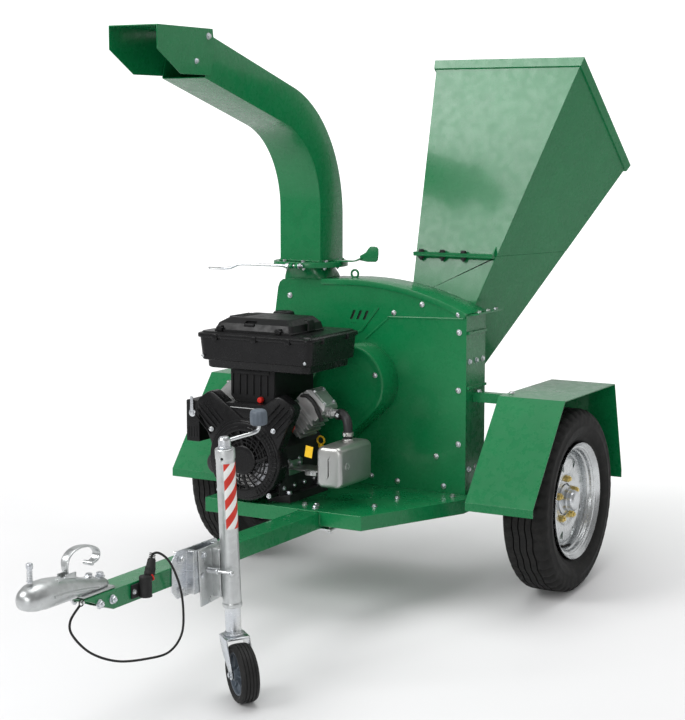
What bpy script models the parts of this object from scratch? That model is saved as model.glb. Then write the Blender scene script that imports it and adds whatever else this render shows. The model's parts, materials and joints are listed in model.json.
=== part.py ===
"""Single-axle towable wood chipper.

The machine is drawn level in its own frame: +X to the right seen from the
drawbar end, -Y towards the coupling, +Z up, origin on the ground under the
axle.  An empty then pitches it nose-up about the axle so that the two road
wheels and the jockey wheel all stand on z = 0.  The jockey stand is drawn
upright in that final frame.  A last empty slides both along Y, so that the
origin lies on the ground under the middle of the machine.  All lengths are
metres.
"""
import bpy
import bmesh
from math import sin, cos, pi, radians, sqrt, hypot, atan2
from mathutils import Vector, Matrix

# ---------------------------------------------------------------- dimensions
GAP = 0.0003            # running gap between neighbouring solids
PITCH_DEG = 4.0         # nose-up attitude on the jockey wheel
MID_Y = 0.6349          # axle to the middle of the machine's length
AXLE_Z = 0.289          # wheel centre height
WHEEL_X = 0.569         # wheel centre plane, each side
TYRE_R = 0.289          # 13 inch trailer tyre
TYRE_HALF = 0.075
RIM_R = 0.183           # rim flange radius
BEAD_R = 0.165
BAR_HALF = 0.0375       # drawbar, 75 x 50 box section
BAR_TOP = 0.2967
BAR_BOT = 0.2467
DECK_TOP = 0.3010
CASE_Y0 = -0.150        # rotor casing, front face
CASE_Y1 = -0.011        # rotor casing, rear face
CASE_BOT = DECK_TOP + GAP
CASE_RIGHT = 0.315
CASE_LEFT = -0.410
ROTOR = (-0.045, 0.640)  # rotor shaft axis (x, z)
CRANK = (-0.220, 0.436)  # engine crankshaft axis (x, z)
ROTOR_R = 0.262
SPOUT = (-0.2855, -0.083)  # discharge chute turning axis (x, y)
SPOUT_X0, SPOUT_X1 = -0.362, -0.209
FLANGE_R = 0.1135
JOCKEY = (0.120, -1.184)  # jockey stand axis (x, y), final frame
JOCKEY_R = 0.0255
JWHEEL_R = 0.080
JTRAIL = 0.060
GUARD_X0, GUARD_X1 = 0.423, 0.643
HOP_X = 0.050           # hopper left wall
HOP_SPLIT = 1.040       # height of the hopper's bolted joint
SHEET = 0.003

# -------------------------------------------------------------- clean scene
for old in list(bpy.data.objects):
    bpy.data.objects.remove(old, do_unlink=True)
COL = bpy.context.scene.collection

# ------------------------------------------------------------------- frames
pitch = Matrix.Rotation(radians(-PITCH_DEG), 4, 'X')
axle_pt = Vector((0.0, 0.0, AXLE_Z))
machine = bpy.data.objects.new("machine_frame", None)
COL.objects.link(machine)
machine.rotation_euler = (radians(-PITCH_DEG), 0.0, 0.0)
machine.location = axle_pt - (pitch @ axle_pt)
upright = bpy.data.objects.new("upright_frame", None)
COL.objects.link(upright)
bpy.context.view_layer.update()
TO_WORLD = machine.matrix_world.copy()
centre = bpy.data.objects.new("centre_frame", None)
COL.objects.link(centre)
centre.location = (0.0, MID_Y, 0.0)
machine.parent = centre
upright.parent = centre

# ---------------------------------------------------------------- materials
MATS = {}


def material(name, rgb, rough, metal):
    if name not in MATS:
        m = bpy.data.materials.new(name)
        m.use_nodes = True
        p = m.node_tree.nodes["Principled BSDF"]
        p.inputs["Base Color"].default_value = (rgb[0], rgb[1], rgb[2], 1.0)
        p.inputs["Roughness"].default_value = rough
        p.inputs["Metallic"].default_value = metal
        m.diffuse_color = (rgb[0], rgb[1], rgb[2], 1.0)
        MATS[name] = m
    return MATS[name]


GREEN = material("green_paint", (0.0, 0.14, 0.038), 0.28, 0.0)
GALV = material("galvanised", (0.42, 0.44, 0.44), 0.42, 0.9)
ZINC = material("zinc_plate", (0.55, 0.56, 0.56), 0.3, 0.95)
BLACK = material("black_plastic", (0.012, 0.012, 0.012), 0.45, 0.0)
CAST = material("black_cast", (0.02, 0.02, 0.02), 0.55, 0.2)
ALU = material("cast_aluminium", (0.5, 0.5, 0.49), 0.45, 0.9)
STEEL = material("machined_steel", (0.35, 0.35, 0.36), 0.3, 1.0)
RUBBER = material("rubber", (0.012, 0.012, 0.012), 0.75, 0.0)
TYRE = material("tyre_rubber", (0.015, 0.015, 0.016), 0.8, 0.0)
MUFF = material("muffler_steel", (0.4, 0.41, 0.41), 0.35, 0.9)
GREY = material("grey_plastic", (0.16, 0.18, 0.2), 0.5, 0.0)
YELLOW = material("yellow_plastic", (0.75, 0.5, 0.02), 0.4, 0.0)


# ------------------------------------------------------------ solid builders
def to_obj(bm):
    bmesh.ops.remove_doubles(bm, verts=bm.verts, dist=1e-7)
    bmesh.ops.recalc_face_normals(bm, faces=bm.faces)
    me = bpy.data.meshes.new("solid")
    bm.to_mesh(me)
    bm.free()
    ob = bpy.data.objects.new("solid", me)
    COL.objects.link(ob)
    return ob


def box(x0, x1, y0, y1, z0, z1):
    bm = bmesh.new()
    bmesh.ops.create_cube(bm, size=1.0)
    for v in bm.verts:
        v.co = Vector((x0 + (v.co.x + 0.5) * (x1 - x0),
                       y0 + (v.co.y + 0.5) * (y1 - y0),
                       z0 + (v.co.z + 0.5) * (z1 - z0)))
    return to_obj(bm)


def place(axis, p, t):
    """Point p in the plane across axis, t along it."""
    if axis == 'x':
        return Vector((t, p[0], p[1]))
    if axis == 'y':
        return Vector((p[0], t, p[1]))
    return Vector((p[0], p[1], t))


def prism(axis, pts, a, b):
    """Polygon pushed along an axis from a to b."""
    bm = bmesh.new()
    lo = [bm.verts.new(place(axis, p, a)) for p in pts]
    hi = [bm.verts.new(place(axis, p, b)) for p in pts]
    n = len(pts)
    for i in range(n):
        j = (i + 1) % n
        bm.faces.new((lo[i], lo[j], hi[j], hi[i]))
    f0 = bm.faces.new(lo[::-1])
    f1 = bm.faces.new(hi)
    bmesh.ops.triangulate(bm, faces=[f0, f1])
    return to_obj(bm)


def frame_of(axis):
    z = Vector(axis).normalized()
    x = Vector((0, 0, 1)) if abs(z.z) < 0.9 else Vector((1, 0, 0))
    x = (x - z * x.dot(z)).normalized()
    return x, z.cross(x), z


def cyl(p, axis, r, a, b, n=20, r2=None):
    """Cylinder or cone about the line through p along axis."""
    x, y, z = frame_of(axis)
    p = Vector(p)
    r2 = r if r2 is None else r2
    bm = bmesh.new()
    rings = []
    for t, rr in ((a, r), (b, r2)):
        rings.append([bm.verts.new(p + z * t + x * (rr * cos(2 * pi * k / n)) + y * (rr * sin(2 * pi * k / n)))
                      for k in range(n)])
    for k in range(n):
        j = (k + 1) % n
        bm.faces.new((rings[0][k], rings[0][j], rings[1][j], rings[1][k]))
    bm.faces.new(rings[0][::-1])
    bm.faces.new(rings[1])
    return to_obj(bm)


def lathe(p, axis, prof, n=24, turn=0.0):
    """Closed profile of (radius, distance along axis) spun about the axis."""
    x, y, z = frame_of(axis)
    p = Vector(p)
    bm = bmesh.new()
    rows = []
    for r, t in prof:
        if r < 1e-6:
            rows.append([bm.verts.new(p + z * t)])
        else:
            rows.append([bm.verts.new(p + z * t + x * (r * cos(turn + 2 * pi * k / n)) + y * (r * sin(turn + 2 * pi * k / n)))
                         for k in range(n)])
    m = len(rows)
    for i in range(m):
        a, b = rows[i], rows[(i + 1) % m]
        if len(a) == 1 and len(b) == 1:
            continue
        for k in range(n):
            j = (k + 1) % n
            if len(a) == 1:
                bm.faces.new((a[0], b[j], b[k]))
            elif len(b) == 1:
                bm.faces.new((a[k], a[j], b[0]))
            else:
                bm.faces.new((a[k], a[j], b[j], b[k]))
    return to_obj(bm)


def loft(loops, ring=False):
    """Skin between equal loops of points; capped, or closed on itself."""
    bm = bmesh.new()
    rows = [[bm.verts.new(Vector(q)) for q in lp] for lp in loops]
    n = len(rows[0])
    m = len(rows)
    for i in range(m if ring else m - 1):
        a, b = rows[i], rows[(i + 1) % m]
        for k in range(n):
            j = (k + 1) % n
            bm.faces.new((a[k], a[j], b[j], b[k]))
    if not ring:
        f0 = bm.faces.new(rows[0][::-1])
        f1 = bm.faces.new(rows[-1])
        bmesh.ops.triangulate(bm, faces=[f0, f1])
    return to_obj(bm)


def rod(path, r, n=8):
    """Round bar swept along a path of points."""
    pts = [Vector(q) for q in path]
    loops = []
    prev = None
    for i, q in enumerate(pts):
        if i == 0:
            t = pts[1] - pts[0]
        elif i == len(pts) - 1:
            t = pts[-1] - pts[-2]
        else:
            t = (pts[i + 1] - q).normalized() + (q - pts[i - 1]).normalized()
        t.normalize()
        if prev is None:
            x, y, _ = frame_of(t)
        else:
            x = (prev - t * prev.dot(t)).normalized()
            y = t.cross(x)
        prev = x
        k = 1.0
        if 0 < i < len(pts) - 1:
            c = (q - pts[i - 1]).normalized().dot(t)
            k = 1.0 / max(c, 0.7)
        loops.append([q + x * (r * k * cos(2 * pi * s / n)) + y * (r * k * sin(2 * pi * s / n)) for s in range(n)])
    return loft(loops)


def torus(p, axis, R, r, n=16, m=8):
    prof = [(R + r * cos(2 * pi * k / m), r * sin(2 * pi * k / m)) for k in range(m)]
    return lathe(p, axis, prof, n)


def hull(pts):
    bm = bmesh.new()
    vs = [bm.verts.new(Vector(q)) for q in pts]
    r = bmesh.ops.convex_hull(bm, input=vs)
    junk = [g for g in r["geom_interior"] + r["geom_unused"] if isinstance(g, bmesh.types.BMVert)]
    bmesh.ops.delete(bm, geom=list(set(junk)), context='VERTS')
    bmesh.ops.dissolve_limit(bm, angle_limit=0.002, verts=bm.verts, edges=bm.edges)
    return to_obj(bm)


def boolean(a, others, op):
    for o in others:
        md = a.modifiers.new("cut", 'BOOLEAN')
        md.operation = op
        md.solver = 'EXACT'
        md.object = o
        bpy.context.view_layer.update()
        dg = bpy.context.evaluated_depsgraph_get()
        me = bpy.data.meshes.new_from_object(a.evaluated_get(dg))
        a.modifiers.clear()
        a.data = me
        bpy.data.objects.remove(o, do_unlink=True)
    return a


def union(*obs):
    return boolean(obs[0], obs[1:], 'UNION')


def cut(a, *obs):
    return boolean(a, obs, 'DIFFERENCE')


def moved(ob, m):
    ob.data.transform(m)
    return ob


def node(name, ob, mat, origin=(0, 0, 0), parent=None, smooth=35):
    """Names a solid, puts its origin on its joint and hangs it on its frame."""
    parent = machine if parent is None else parent
    o = Vector(origin)
    ob.data.transform(Matrix.Translation(-o))
    ob.name = name
    ob.data.name = name
    ob.data.materials.clear()
    ob.data.materials.append(mat)
    ob.parent = parent
    ob.location = o
    ob.data.shade_smooth()
    ob.data.set_sharp_from_angle(angle=radians(smooth))
    return ob


def circle_pts(c, r, n, a0=0.0, a1=2 * pi, end=False):
    m = n if not end else n - 1
    return [(c[0] + r * cos(a0 + (a1 - a0) * k / m), c[1] + r * sin(a0 + (a1 - a0) * k / m)) for k in range(n)]


def belt_outline(c1, r1, c2, r2, n):
    """Outline round two pulleys: the two arcs joined by outer tangents."""
    dx, dz = c2[0] - c1[0], c2[1] - c1[1]
    d = hypot(dx, dz)
    base = atan2(dz, dx)
    off = atan2(sqrt(d * d - (r1 - r2) ** 2), r1 - r2)
    p = circle_pts(c1, r1, n, base + off, base - off + 2 * pi, True)
    q = circle_pts(c2, r2, n, base - off, base + off, True)
    return p + q


def inset(pts, d):
    """Convex outline moved inwards by d."""
    n = len(pts)
    area = sum(pts[i][0] * pts[(i + 1) % n][1] - pts[(i + 1) % n][0] * pts[i][1] for i in range(n))
    s = 1.0 if area > 0 else -1.0
    lines = []
    for i in range(n):
        x0, y0 = pts[i]
        x1, y1 = pts[(i + 1) % n]
        L = hypot(x1 - x0, y1 - y0)
        nx, ny = -(y1 - y0) / L * s, (x1 - x0) / L * s
        lines.append((nx, ny, nx * x0 + ny * y0 + d))
    out = []
    for i in range(n):
        a1, b1, c1 = lines[i - 1]
        a2, b2, c2 = lines[i]
        det = a1 * b2 - a2 * b1
        out.append(((c1 * b2 - c2 * b1) / det, (a1 * c2 - a2 * c1) / det))
    return out


# ================================================================== CHASSIS
bar = prism('x', [(-1.707, BAR_TOP), (-1.590, BAR_BOT), (-0.0256, BAR_BOT), (-0.0256, BAR_TOP)], -BAR_HALF, BAR_HALF)
cut(bar, box(-BAR_HALF + 0.004, BAR_HALF - 0.004, -1.8, 0.1, BAR_BOT + 0.004, BAR_TOP - 0.004))
node("drawbar", bar, GREEN, smooth=20)

deck_pts = [(-0.375, -0.579), (0.181, -0.579), (0.342, -0.213), (0.342, 0.060), (-0.420, 0.060), (-0.420, -0.190), (-0.375, -0.230)]
deck = prism('z', deck_pts, DECK_TOP - 0.045, DECK_TOP)
inner = inset([(-0.375, -0.579), (0.181, -0.579), (0.342, -0.213), (0.342, 0.2), (-0.420, 0.2), (-0.420, -0.190), (-0.375, -0.230)], 0.004)
cut(deck, prism('z', inner, DECK_TOP - 0.06, DECK_TOP - 0.004),
    box(-0.5, 0.5, -0.030, 0.2, 0.1, DECK_TOP - 0.004),
    box(-BAR_HALF - GAP, BAR_HALF + GAP, -0.7, -0.5, 0.1, BAR_TOP + GAP))
node("deck_plate", deck, GREEN, smooth=20)

axle = box(-0.475, 0.475, -0.025, 0.025, BAR_BOT, BAR_TOP)
axle = union(axle, box(-0.4865, -0.4700, -0.028, 0.028, 0.2435, 0.3170), box(0.4700, 0.4865, -0.028, 0.028, 0.2435, 0.3170),
             cyl((0, 0, AXLE_Z), (1, 0, 0), 0.0145, 0.480, 0.606, 16), cyl((0, 0, AXLE_Z), (1, 0, 0), 0.0145, -0.606, -0.480, 16))
node("axle_beam", axle, GALV, (0, 0, AXLE_Z), smooth=20)

# ------------------------------------------------------------- rotor casing
def case_top(x):
    """Height of the casing's arched top at x."""
    if x < -0.10:
        return 0.9585 - (-0.10 - x) * 0.026
    return 0.9585 - (1.0 - sqrt(1.0 - (x + 0.10) ** 2))


arch = [(-0.10 + 0.415 * k / 9, case_top(-0.10 + 0.415 * k / 9)) for k in range(10)]
outline = [(CASE_LEFT, CASE_BOT), (CASE_RIGHT, CASE_BOT)] + arch[::-1] + [(-0.352, case_top(-0.352)), (-0.364, 0.943), (-0.371, 0.925), (CASE_LEFT, 0.650)]
front = prism('y', outline, CASE_Y0, CASE_Y0 + 0.005)
cut(front, cyl((ROTOR[0], 0, ROTOR[1]), (0, 1, 0), 0.030, -0.2, 0.0, 20))
node("casing_front_plate", front, GREEN, smooth=20)

wrap_a, wrap_b = CASE_Y0 + 0.005 + GAP, CASE_Y1 - 0.005 - GAP
wrap = prism('y', outline, wrap_a, wrap_b)
cut(wrap, prism('y', inset(outline, 0.005), wrap_a - 0.01, wrap_b + 0.01),
    box(-0.348, -0.223, -0.135, -0.026, 0.90, 1.0))
wrap = union(wrap, box(CASE_RIGHT - 0.001, CASE_RIGHT + 0.008, wrap_a, wrap_b, 0.806, 0.814),
             box(CASE_RIGHT - 0.001, CASE_RIGHT + 0.008, wrap_a, wrap_b, 0.634, 0.642))


rear = prism('y', outline, CASE_Y1 - 0.005, CASE_Y1)
feed = [(HOP_X + 0.004, 0.497), (0.161, 0.497), (0.276, 0.889), (HOP_X + 0.004, 0.889)]
cut(rear, cyl((ROTOR[0], 0, ROTOR[1]), (0, 1, 0), 0.030, -0.2, 0.2, 20), prism('y', feed, -0.1, 0.1))
node("casing_rear_plate", rear, GREEN, smooth=20)

lip = hull([(CASE_RIGHT - 0.002, y, z) for y, z in ((wrap_a + 0.01, 0.868), (wrap_a + 0.01, 0.862), (wrap_b - 0.01, 0.868), (wrap_b - 0.01, 0.862))] +
           [(CASE_RIGHT + 0.028, y, z) for y, z in ((-0.120, 0.872), (-0.120, 0.867), (0.058, 0.872), (0.058, 0.867))])

eye = union(torus((-0.121, -0.080, 0.9735), (0, 1, 0), 0.0125, 0.0035, 16, 6),
            box(-0.129, -0.113, -0.0835, -0.0765, case_top(-0.113) - 0.003, 0.9635))
node("casing_wrapper", union(wrap, lip, eye), GREEN, smooth=20)

cover = prism('y', belt_outline(ROTOR, 0.122, CRANK, 0.088, 12), -0.250, CASE_Y0 - GAP)
cut(cover, prism('y', belt_outline(ROTOR, 0.119, CRANK, 0.085, 12), -0.247, 0.0),
    cyl((CRANK[0], 0, CRANK[1]), (0, 1, 0), 0.034, -0.3, -0.2, 20))
node("belt_cover", cover, GREEN)


def bearing(y0, y1, name):
    """Flanged bearing housing with its bore on the rotor shaft."""
    b = prism('y', belt_outline((ROTOR[0] - 0.045, ROTOR[1]), 0.016, (ROTOR[0] + 0.045, ROTOR[1]), 0.016, 7), y0, y0 + 0.010 if y1 > y0 else y0 - 0.010)
    b = union(b, cyl((ROTOR[0], 0, ROTOR[1]), (0, 1, 0), 0.040, min(y0, y1), max(y0, y1), 16))
    cut(b, cyl((ROTOR[0], 0, ROTOR[1]), (0, 1, 0), 0.0216, -0.5, 0.5, 20))
    return node(name, b, CAST)


bearing(CASE_Y0 - GAP, CASE_Y0 - 0.020, "bearing_front")
bearing(CASE_Y1 + GAP, CASE_Y1 + 0.030, "bearing_rear")
node("bed_knife", box(0.052, 0.160, -0.052, -0.0165, 0.448, 0.490), STEEL, smooth=20)

# -------------------------------------------------------------------- rotor
R0 = (ROTOR[0], 0.0, ROTOR[1])
node("rotor_shaft", cyl(R0, (0, 1, 0), 0.0200, -0.236, 0.030, 20), STEEL, R0)
disc = union(cyl(R0, (0, 1, 0), ROTOR_R, -0.100, -0.083, 40), cyl(R0, (0, 1, 0), 0.050, -0.139, -0.095, 20),
             *[moved(box(0.030, 0.256, -0.137, -0.096, -0.003, 0.003), Matrix.Translation(Vector(R0)) @ Matrix.Rotation(pi * (s + 0.25) / 2, 4, 'Y')) for s in range(4)])
cut(disc, cyl(R0, (0, 1, 0), 0.0206, -0.3, 0.1, 20))
for s in (0, 1):
    slot = box(0.135, 0.235, -0.2, 0.0, -0.006, 0.014)
    cut(disc, moved(slot, Matrix.Translation(Vector(R0)) @ Matrix.Rotation(pi * s, 4, 'Y')))
node("rotor_disc", disc, STEEL, R0, smooth=30)
for s in (0, 1):
    k = box(0.128, 0.242, -0.0827, -0.0727, -0.055, -0.007)
    moved(k, Matrix.Translation(Vector(R0)) @ Matrix.Rotation(pi * s, 4, 'Y'))
    node("chipping_knife_%d" % (s + 1), k, STEEL, R0, smooth=20)


def pulley(c, r, groove, y0, y1, bore):
    w = (y1 - y0)
    prof = [(bore, y0), (r, y0), (r, y0 + w * 0.14), (groove, y0 + w * 0.22), (groove, y0 + w * 0.78), (r, y0 + w * 0.86), (r, y1), (bore, y1)]
    return lathe((c[0], 0, c[1]), (0, 1, 0), prof, 20)


node("rotor_pulley", pulley(ROTOR, 0.085, 0.074, -0.232, -0.176, 0.0206), CAST, R0)
C0 = (CRANK[0], 0.0, CRANK[1])
node("engine_pulley", pulley(CRANK, 0.060, 0.049, -0.232, -0.176, 0.0151), CAST, C0)
belt = prism('y', belt_outline(ROTOR, 0.082, CRANK, 0.057, 12), -0.219, -0.189)
cut(belt, prism('y', belt_outline(ROTOR, 0.0754, CRANK, 0.0504, 12), -0.3, -0.1))
node("drive_belt", belt, RUBBER)

# ------------------------------------------------------------------- engine
feet = union(box(-0.345, -0.265, -0.530, -0.300, CASE_BOT, 0.3250), box(-0.175, -0.095, -0.530, -0.300, CASE_BOT, 0.3250),
             box(-0.27, -0.17, -0.44, -0.40, CASE_BOT, 0.3130))
block = prism('y', [(-0.320, 0.3235), (-0.120, 0.3235), (-0.120, 0.470), (-0.165, 0.520), (-0.275, 0.520), (-0.320, 0.470)], -0.548, -0.290)
cut(block, cyl(C0, (0, 1, 0), 0.0165, -0.7, 0.0, 20))
dtube = cut(union(box(-0.124, -0.097, -0.345, -0.325, 0.335, 0.360), cyl((-0.100, -0.335, 0.345), (0, 0, 1), 0.008, 0.0, 0.0985, 12)), cyl((-0.100, -0.335, 0.345), (0, 0, 1), 0.0045, 0.005, 0.2, 12))
node("crankcase", union(block, feet, dtube), CAST, smooth=20)
fl = lathe(C0, (0, 1, 0), [(0.0, -0.5885), (0.045, -0.5885), (0.050, -0.575), (0.092, -0.575), (0.092, -0.5655), (0.0, -0.5655)], 20)
node("crankshaft", union(cyl(C0, (0, 1, 0), 0.0146, -0.580, -0.172, 20), fl), STEEL, C0)


def finned(sx, name):
    """Air-cooled cylinder of the vee, leaning to side sx."""
    parts = [box(-0.036, 0.036, -0.036, 0.036, 0.120, 0.240)]
    for k in range(4):
        z = 0.134 + 0.020 * k
        parts.append(box(-0.050, 0.050, -0.050, 0.050, z, z + 0.006))
    parts.append(box(-0.047, 0.047, -0.047, 0.047, 0.212, 0.240))
    parts.append(hull([(x, y, 0.2390) for x in (-0.043, 0.043) for y in (-0.043, 0.043)] + [(x, y, 0.266) for x in (-0.034, 0.034) for y in (-0.036, 0.036)] +
                      [(x, y, 0.256) for x in (-0.043, 0.043) for y in (-0.043, 0.043)]))
    b = union(*parts)
    yc = -0.390 if sx < 0 else -0.430
    moved(b, Matrix.Translation((CRANK[0], yc, CRANK[1])) @ Matrix.Rotation(radians(45 * sx), 4, 'Y'))
    return node(name, b, ALU, smooth=20)


finned(-1, "cylinder_left")
finned(1, "cylinder_right")
# front cowl: a round blower scroll and two leaning wings over the cylinders
cowl_o = union(cyl(C0, (0, 1, 0), 0.128, -0.600, -0.5485, 28),
               hull([(x, y, z) for y in (-0.592, -0.5487) for x, z in ((-0.325, 0.440), (-0.395, 0.600), (-0.350, 0.640), (-0.220, 0.560), (-0.220, 0.470))]),
               hull([(x, y, z) for y in (-0.592, -0.5487) for x, z in ((-0.115, 0.440), (-0.045, 0.600), (-0.090, 0.640), (-0.220, 0.560), (-0.220, 0.470))]))
cut(cowl_o, cyl(C0, (0, 1, 0), 0.108, -0.596, -0.4, 24), cyl(C0, (0, 1, 0), 0.088, -0.7, -0.4, 24))
hubd = cyl(C0, (0, 1, 0), 0.034, -0.604, -0.5945, 20)
spokes = [moved(box(0.030, 0.0900, -0.600, -0.595, -0.0024, 0.0024), Matrix.Translation(Vector(C0)) @ Matrix.Rotation(2 * pi * k / 8, 4, 'Y')) for k in range(8)]
node("blower_cowl", union(cowl_o, union(hubd, *spokes)), BLACK, smooth=30)

# top shroud between the vee and the tank
node("engine_shroud", hull([(x, y, z) for y in (-0.545, -0.310) for x, z in ((-0.255, 0.5750), (-0.185, 0.5750), (-0.140, 0.625), (-0.140, 0.7095), (-0.300, 0.7095), (-0.300, 0.625))]), BLACK, smooth=20)

TX0, TX1, TY0, TY1 = -0.395, 0.020, -0.600, -0.290
tank = hull([(x, y, z) for x in (TX0 + 0.012, TX1 - 0.012) for y in (TY0 + 0.012, TY1 - 0.012) for z in (0.7100,)] +
            [(x, y, z) for x, y in ((TX0 + 0.006, TY0 + 0.02), (TX0 + 0.02, TY0 + 0.006), (TX1 - 0.006, TY0 + 0.02), (TX1 - 0.02, TY0 + 0.006),
                                    (TX0 + 0.006, TY1 - 0.02), (TX0 + 0.02, TY1 - 0.006), (TX1 - 0.006, TY1 - 0.02), (TX1 - 0.02, TY1 - 0.006)) for z in (0.722, 0.812)])
rimb = hull([(x, y, z) for x, y in ((TX0, TY0 + 0.016), (TX0 + 0.016, TY0), (TX1, TY0 + 0.016), (TX1 - 0.016, TY0),
                                    (TX0, TY1 - 0.016), (TX0 + 0.016, TY1), (TX1, TY1 - 0.016), (TX1 - 0.016, TY1)) for z in (0.806, 0.824)])
lid = hull([(x, y, z) for x, y, z in [(a, b, 0.8243) for a in (-0.345, -0.060) for b in (-0.572, -0.372)] +
            [(a, b, 0.850) for a in (-0.335, -0.070) for b in (-0.560, -0.376)] +
            [(a, b, 0.866) for a in (-0.310, -0.095) for b in (-0.535, -0.380)]])
node("air_cleaner_cover", lid, BLACK, smooth=20)
FC = (-0.235, -0.335)
node("fuel_tank", union(tank, rimb, cyl((FC[0], FC[1], 0), (0, 0, 1), 0.020, 0.8200, 0.8420, 20)), BLACK, smooth=25)
node("fuel_cap", lathe((FC[0], FC[1], 0), (0, 0, 1), [(0.0, 0.8423), (0.034, 0.8423), (0.034, 0.866), (0.030, 0.872), (0.0, 0.872)], 20), BLACK, (FC[0], FC[1], 0.8423))
CLIP = (-0.0560, -0.470, 0.8300)
clip = union(box(-0.0565, -0.0525, -0.492, -0.448, 0.8280, 0.8640), box(-0.0740, -0.0545, -0.486, -0.454, 0.8605, 0.8640))
node("air_cleaner_clip", moved(clip, Matrix.Translation((0.0, 0.0, 0.0003))), BLACK, (-0.0545, -0.470, 0.8283), smooth=20)

# exhaust
muf = hull([(x, y, z) for y in (-0.552, -0.372) for x, z in ((0.012, 0.388), (0.028, 0.366), (0.088, 0.366), (0.104, 0.388), (0.104, 0.475), (0.088, 0.497), (0.028, 0.497), (0.012, 0.475))] +
           [(x, y, z) for y in (-0.560, -0.364) for x, z in ((0.024, 0.400), (0.036, 0.378), (0.080, 0.378), (0.092, 0.400), (0.092, 0.463), (0.080, 0.485), (0.036, 0.485), (0.024, 0.463))])
epipe = rod([(0.058, -0.440, 0.4900), (0.058, -0.440, 0.545), (0.040, -0.425, 0.565), (0.0200, -0.420, 0.5735)], 0.014, 10)
mbr = union(box(-0.1180, 0.0200, -0.500, -0.420, 0.4000, 0.4040), box(-0.1197, -0.1157, -0.500, -0.420, 0.3800, 0.4250))
node("muffler", union(muf, epipe, mbr), MUFF, smooth=30)
node("starter_motor", union(box(-0.3380, -0.3203, -0.470, -0.430, 0.380, 0.420), cyl((-0.368, -0.440, 0.400), (0, 1, 0), 0.036, -0.090, 0.070, 16), cyl((-0.352, -0.440, 0.442), (0, 1, 0), 0.016, -0.070, 0.040, 12)), CAST)
node("control_box", union(box(-0.4200, -0.3700, -0.5484, -0.5440, 0.550, 0.590), hull([(x, y, z) for x in (-0.455, -0.408) for y, z in ((-0.560, 0.470), (-0.560, 0.600), (-0.440, 0.600), (-0.440, 0.470))] +
                         [(-0.463, y, z) for y, z in ((-0.548, 0.482), (-0.548, 0.588), (-0.452, 0.588), (-0.452, 0.482))])), BLACK, smooth=20)
TH = (-0.432, -0.5605, 0.560)
lev = union(cyl(TH, (0, -1, 0), 0.012, 0.0003, 0.006, 14), box(TH[0] - 0.005, TH[0] + 0.005, TH[1] - 0.0055, TH[1] - 0.0015, TH[2], TH[2] + 0.052))
node("throttle_lever", lev, ZINC, TH, smooth=30)
dst = union(cyl((-0.100, -0.335, 0), (0, 0, 1), 0.0030, 0.3550, 0.452, 10), cyl((-0.100, -0.335, 0), (0, 0, 1), 0.0085, 0.4445, 0.456, 10),
            torus((-0.100, -0.335, 0.467), (0, 1, 0), 0.0125, 0.0030, 12, 5))
node("dipstick", dst, YELLOW, (-0.100, -0.335, 0.4445))

# ------------------------------------------------------------ discharge chute
NB = 16


def square_loop(x0, x1, y0, y1, n=NB):
    """Points round a rectangle, matched in angle to a circle's."""
    cx, cy, hx, hy = (x0 + x1) / 2, (y0 + y1) / 2, (x1 - x0) / 2, (y1 - y0) / 2
    out = []
    for k in range(n):
        a = 2 * pi * (k + 0.5) / n
        c, s = cos(a), sin(a)
        m = max(abs(c) / hx, abs(s) / hy)
        out.append((cx + c / m, cy + s / m))
    return out


def round_loop(r, n=NB):
    return [(SPOUT[0] + r * cos(2 * pi * (k + 0.5) / n), SPOUT[1] + r * sin(2 * pi * (k + 0.5) / n)) for k in range(n)]


so = square_loop(-0.356, -0.205, -0.1440, -0.0170)
si = square_loop(-0.353, -0.208, -0.1410, -0.0200)
o_lo = [(x, y, case_top(x) + 0.0006) for x, y in so]
i_lo = [(x, y, case_top(x) + 0.0006) for x, y in si]
ro, ri = round_loop(0.0780), round_loop(0.0750)
base = loft([o_lo, [(x, y, 0.9985) for x, y in ro], [(x, y, 0.9985) for x, y in round_loop(FLANGE_R)],
             [(x, y, 1.0045) for x, y in round_loop(FLANGE_R)], [(x, y, 1.0045) for x, y in ri], i_lo], ring=True)

SP0 = (SPOUT[0], SPOUT[1], 1.0048)
OUT_R, OUT_Z = 0.430, 1.1553
IN_R, IN_Z = 0.280, 1.1828
TURN = radians(73.7)
Y_OUT, Y_IN = -0.003, -0.151
NA = 12
curve = [((Y_OUT, 1.0110), (Y_IN, 1.0110))]
for k in range(NA + 1):
    f = TURN * k / NA
    curve.append(((Y_OUT - OUT_R * (1 - cos(f)), OUT_Z + OUT_R * sin(f)), (Y_IN - IN_R * (1 - cos(f)), IN_Z + IN_R * sin(f))))
curve.append(((-0.764, 1.703), (-0.798, 1.582)))


def tube_loops(t):
    loops = []
    for (yo, zo), (yi, zi) in curve:
        d = hypot(yo - yi, zo - zi)
        uy, uz = (yi - yo) / d, (zi - zo) / d
        a = (yo + uy * t, zo + uz * t)
        b = (yi - uy * t, zi - uz * t)
        loops.append([(SPOUT_X0 + t, a[0], a[1]), (SPOUT_X1 - t, a[0], a[1]), (SPOUT_X1 - t, b[0], b[1]), (SPOUT_X0 + t, b[0], b[1])])
    return loops


lo, li = tube_loops(0.0), tube_loops(SHEET)
spout = loft(lo + li[::-1], ring=True)
flange = lathe((SPOUT[0], SPOUT[1], 0), (0, 0, 1), [(0.0760, 1.0048), (FLANGE_R, 1.0048), (FLANGE_R, 1.0118), (0.0760, 1.0118)], NB, turn=pi / NB)
foot = cut(box(SPOUT_X0, SPOUT_X1, Y_IN, Y_OUT, 1.0090, 1.0140), box(SPOUT_X0 + SHEET, SPOUT_X1 - SHEET, Y_IN + SHEET, Y_OUT - SHEET, 1.0, 1.1))
spout = union(flange, foot, spout)

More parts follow.
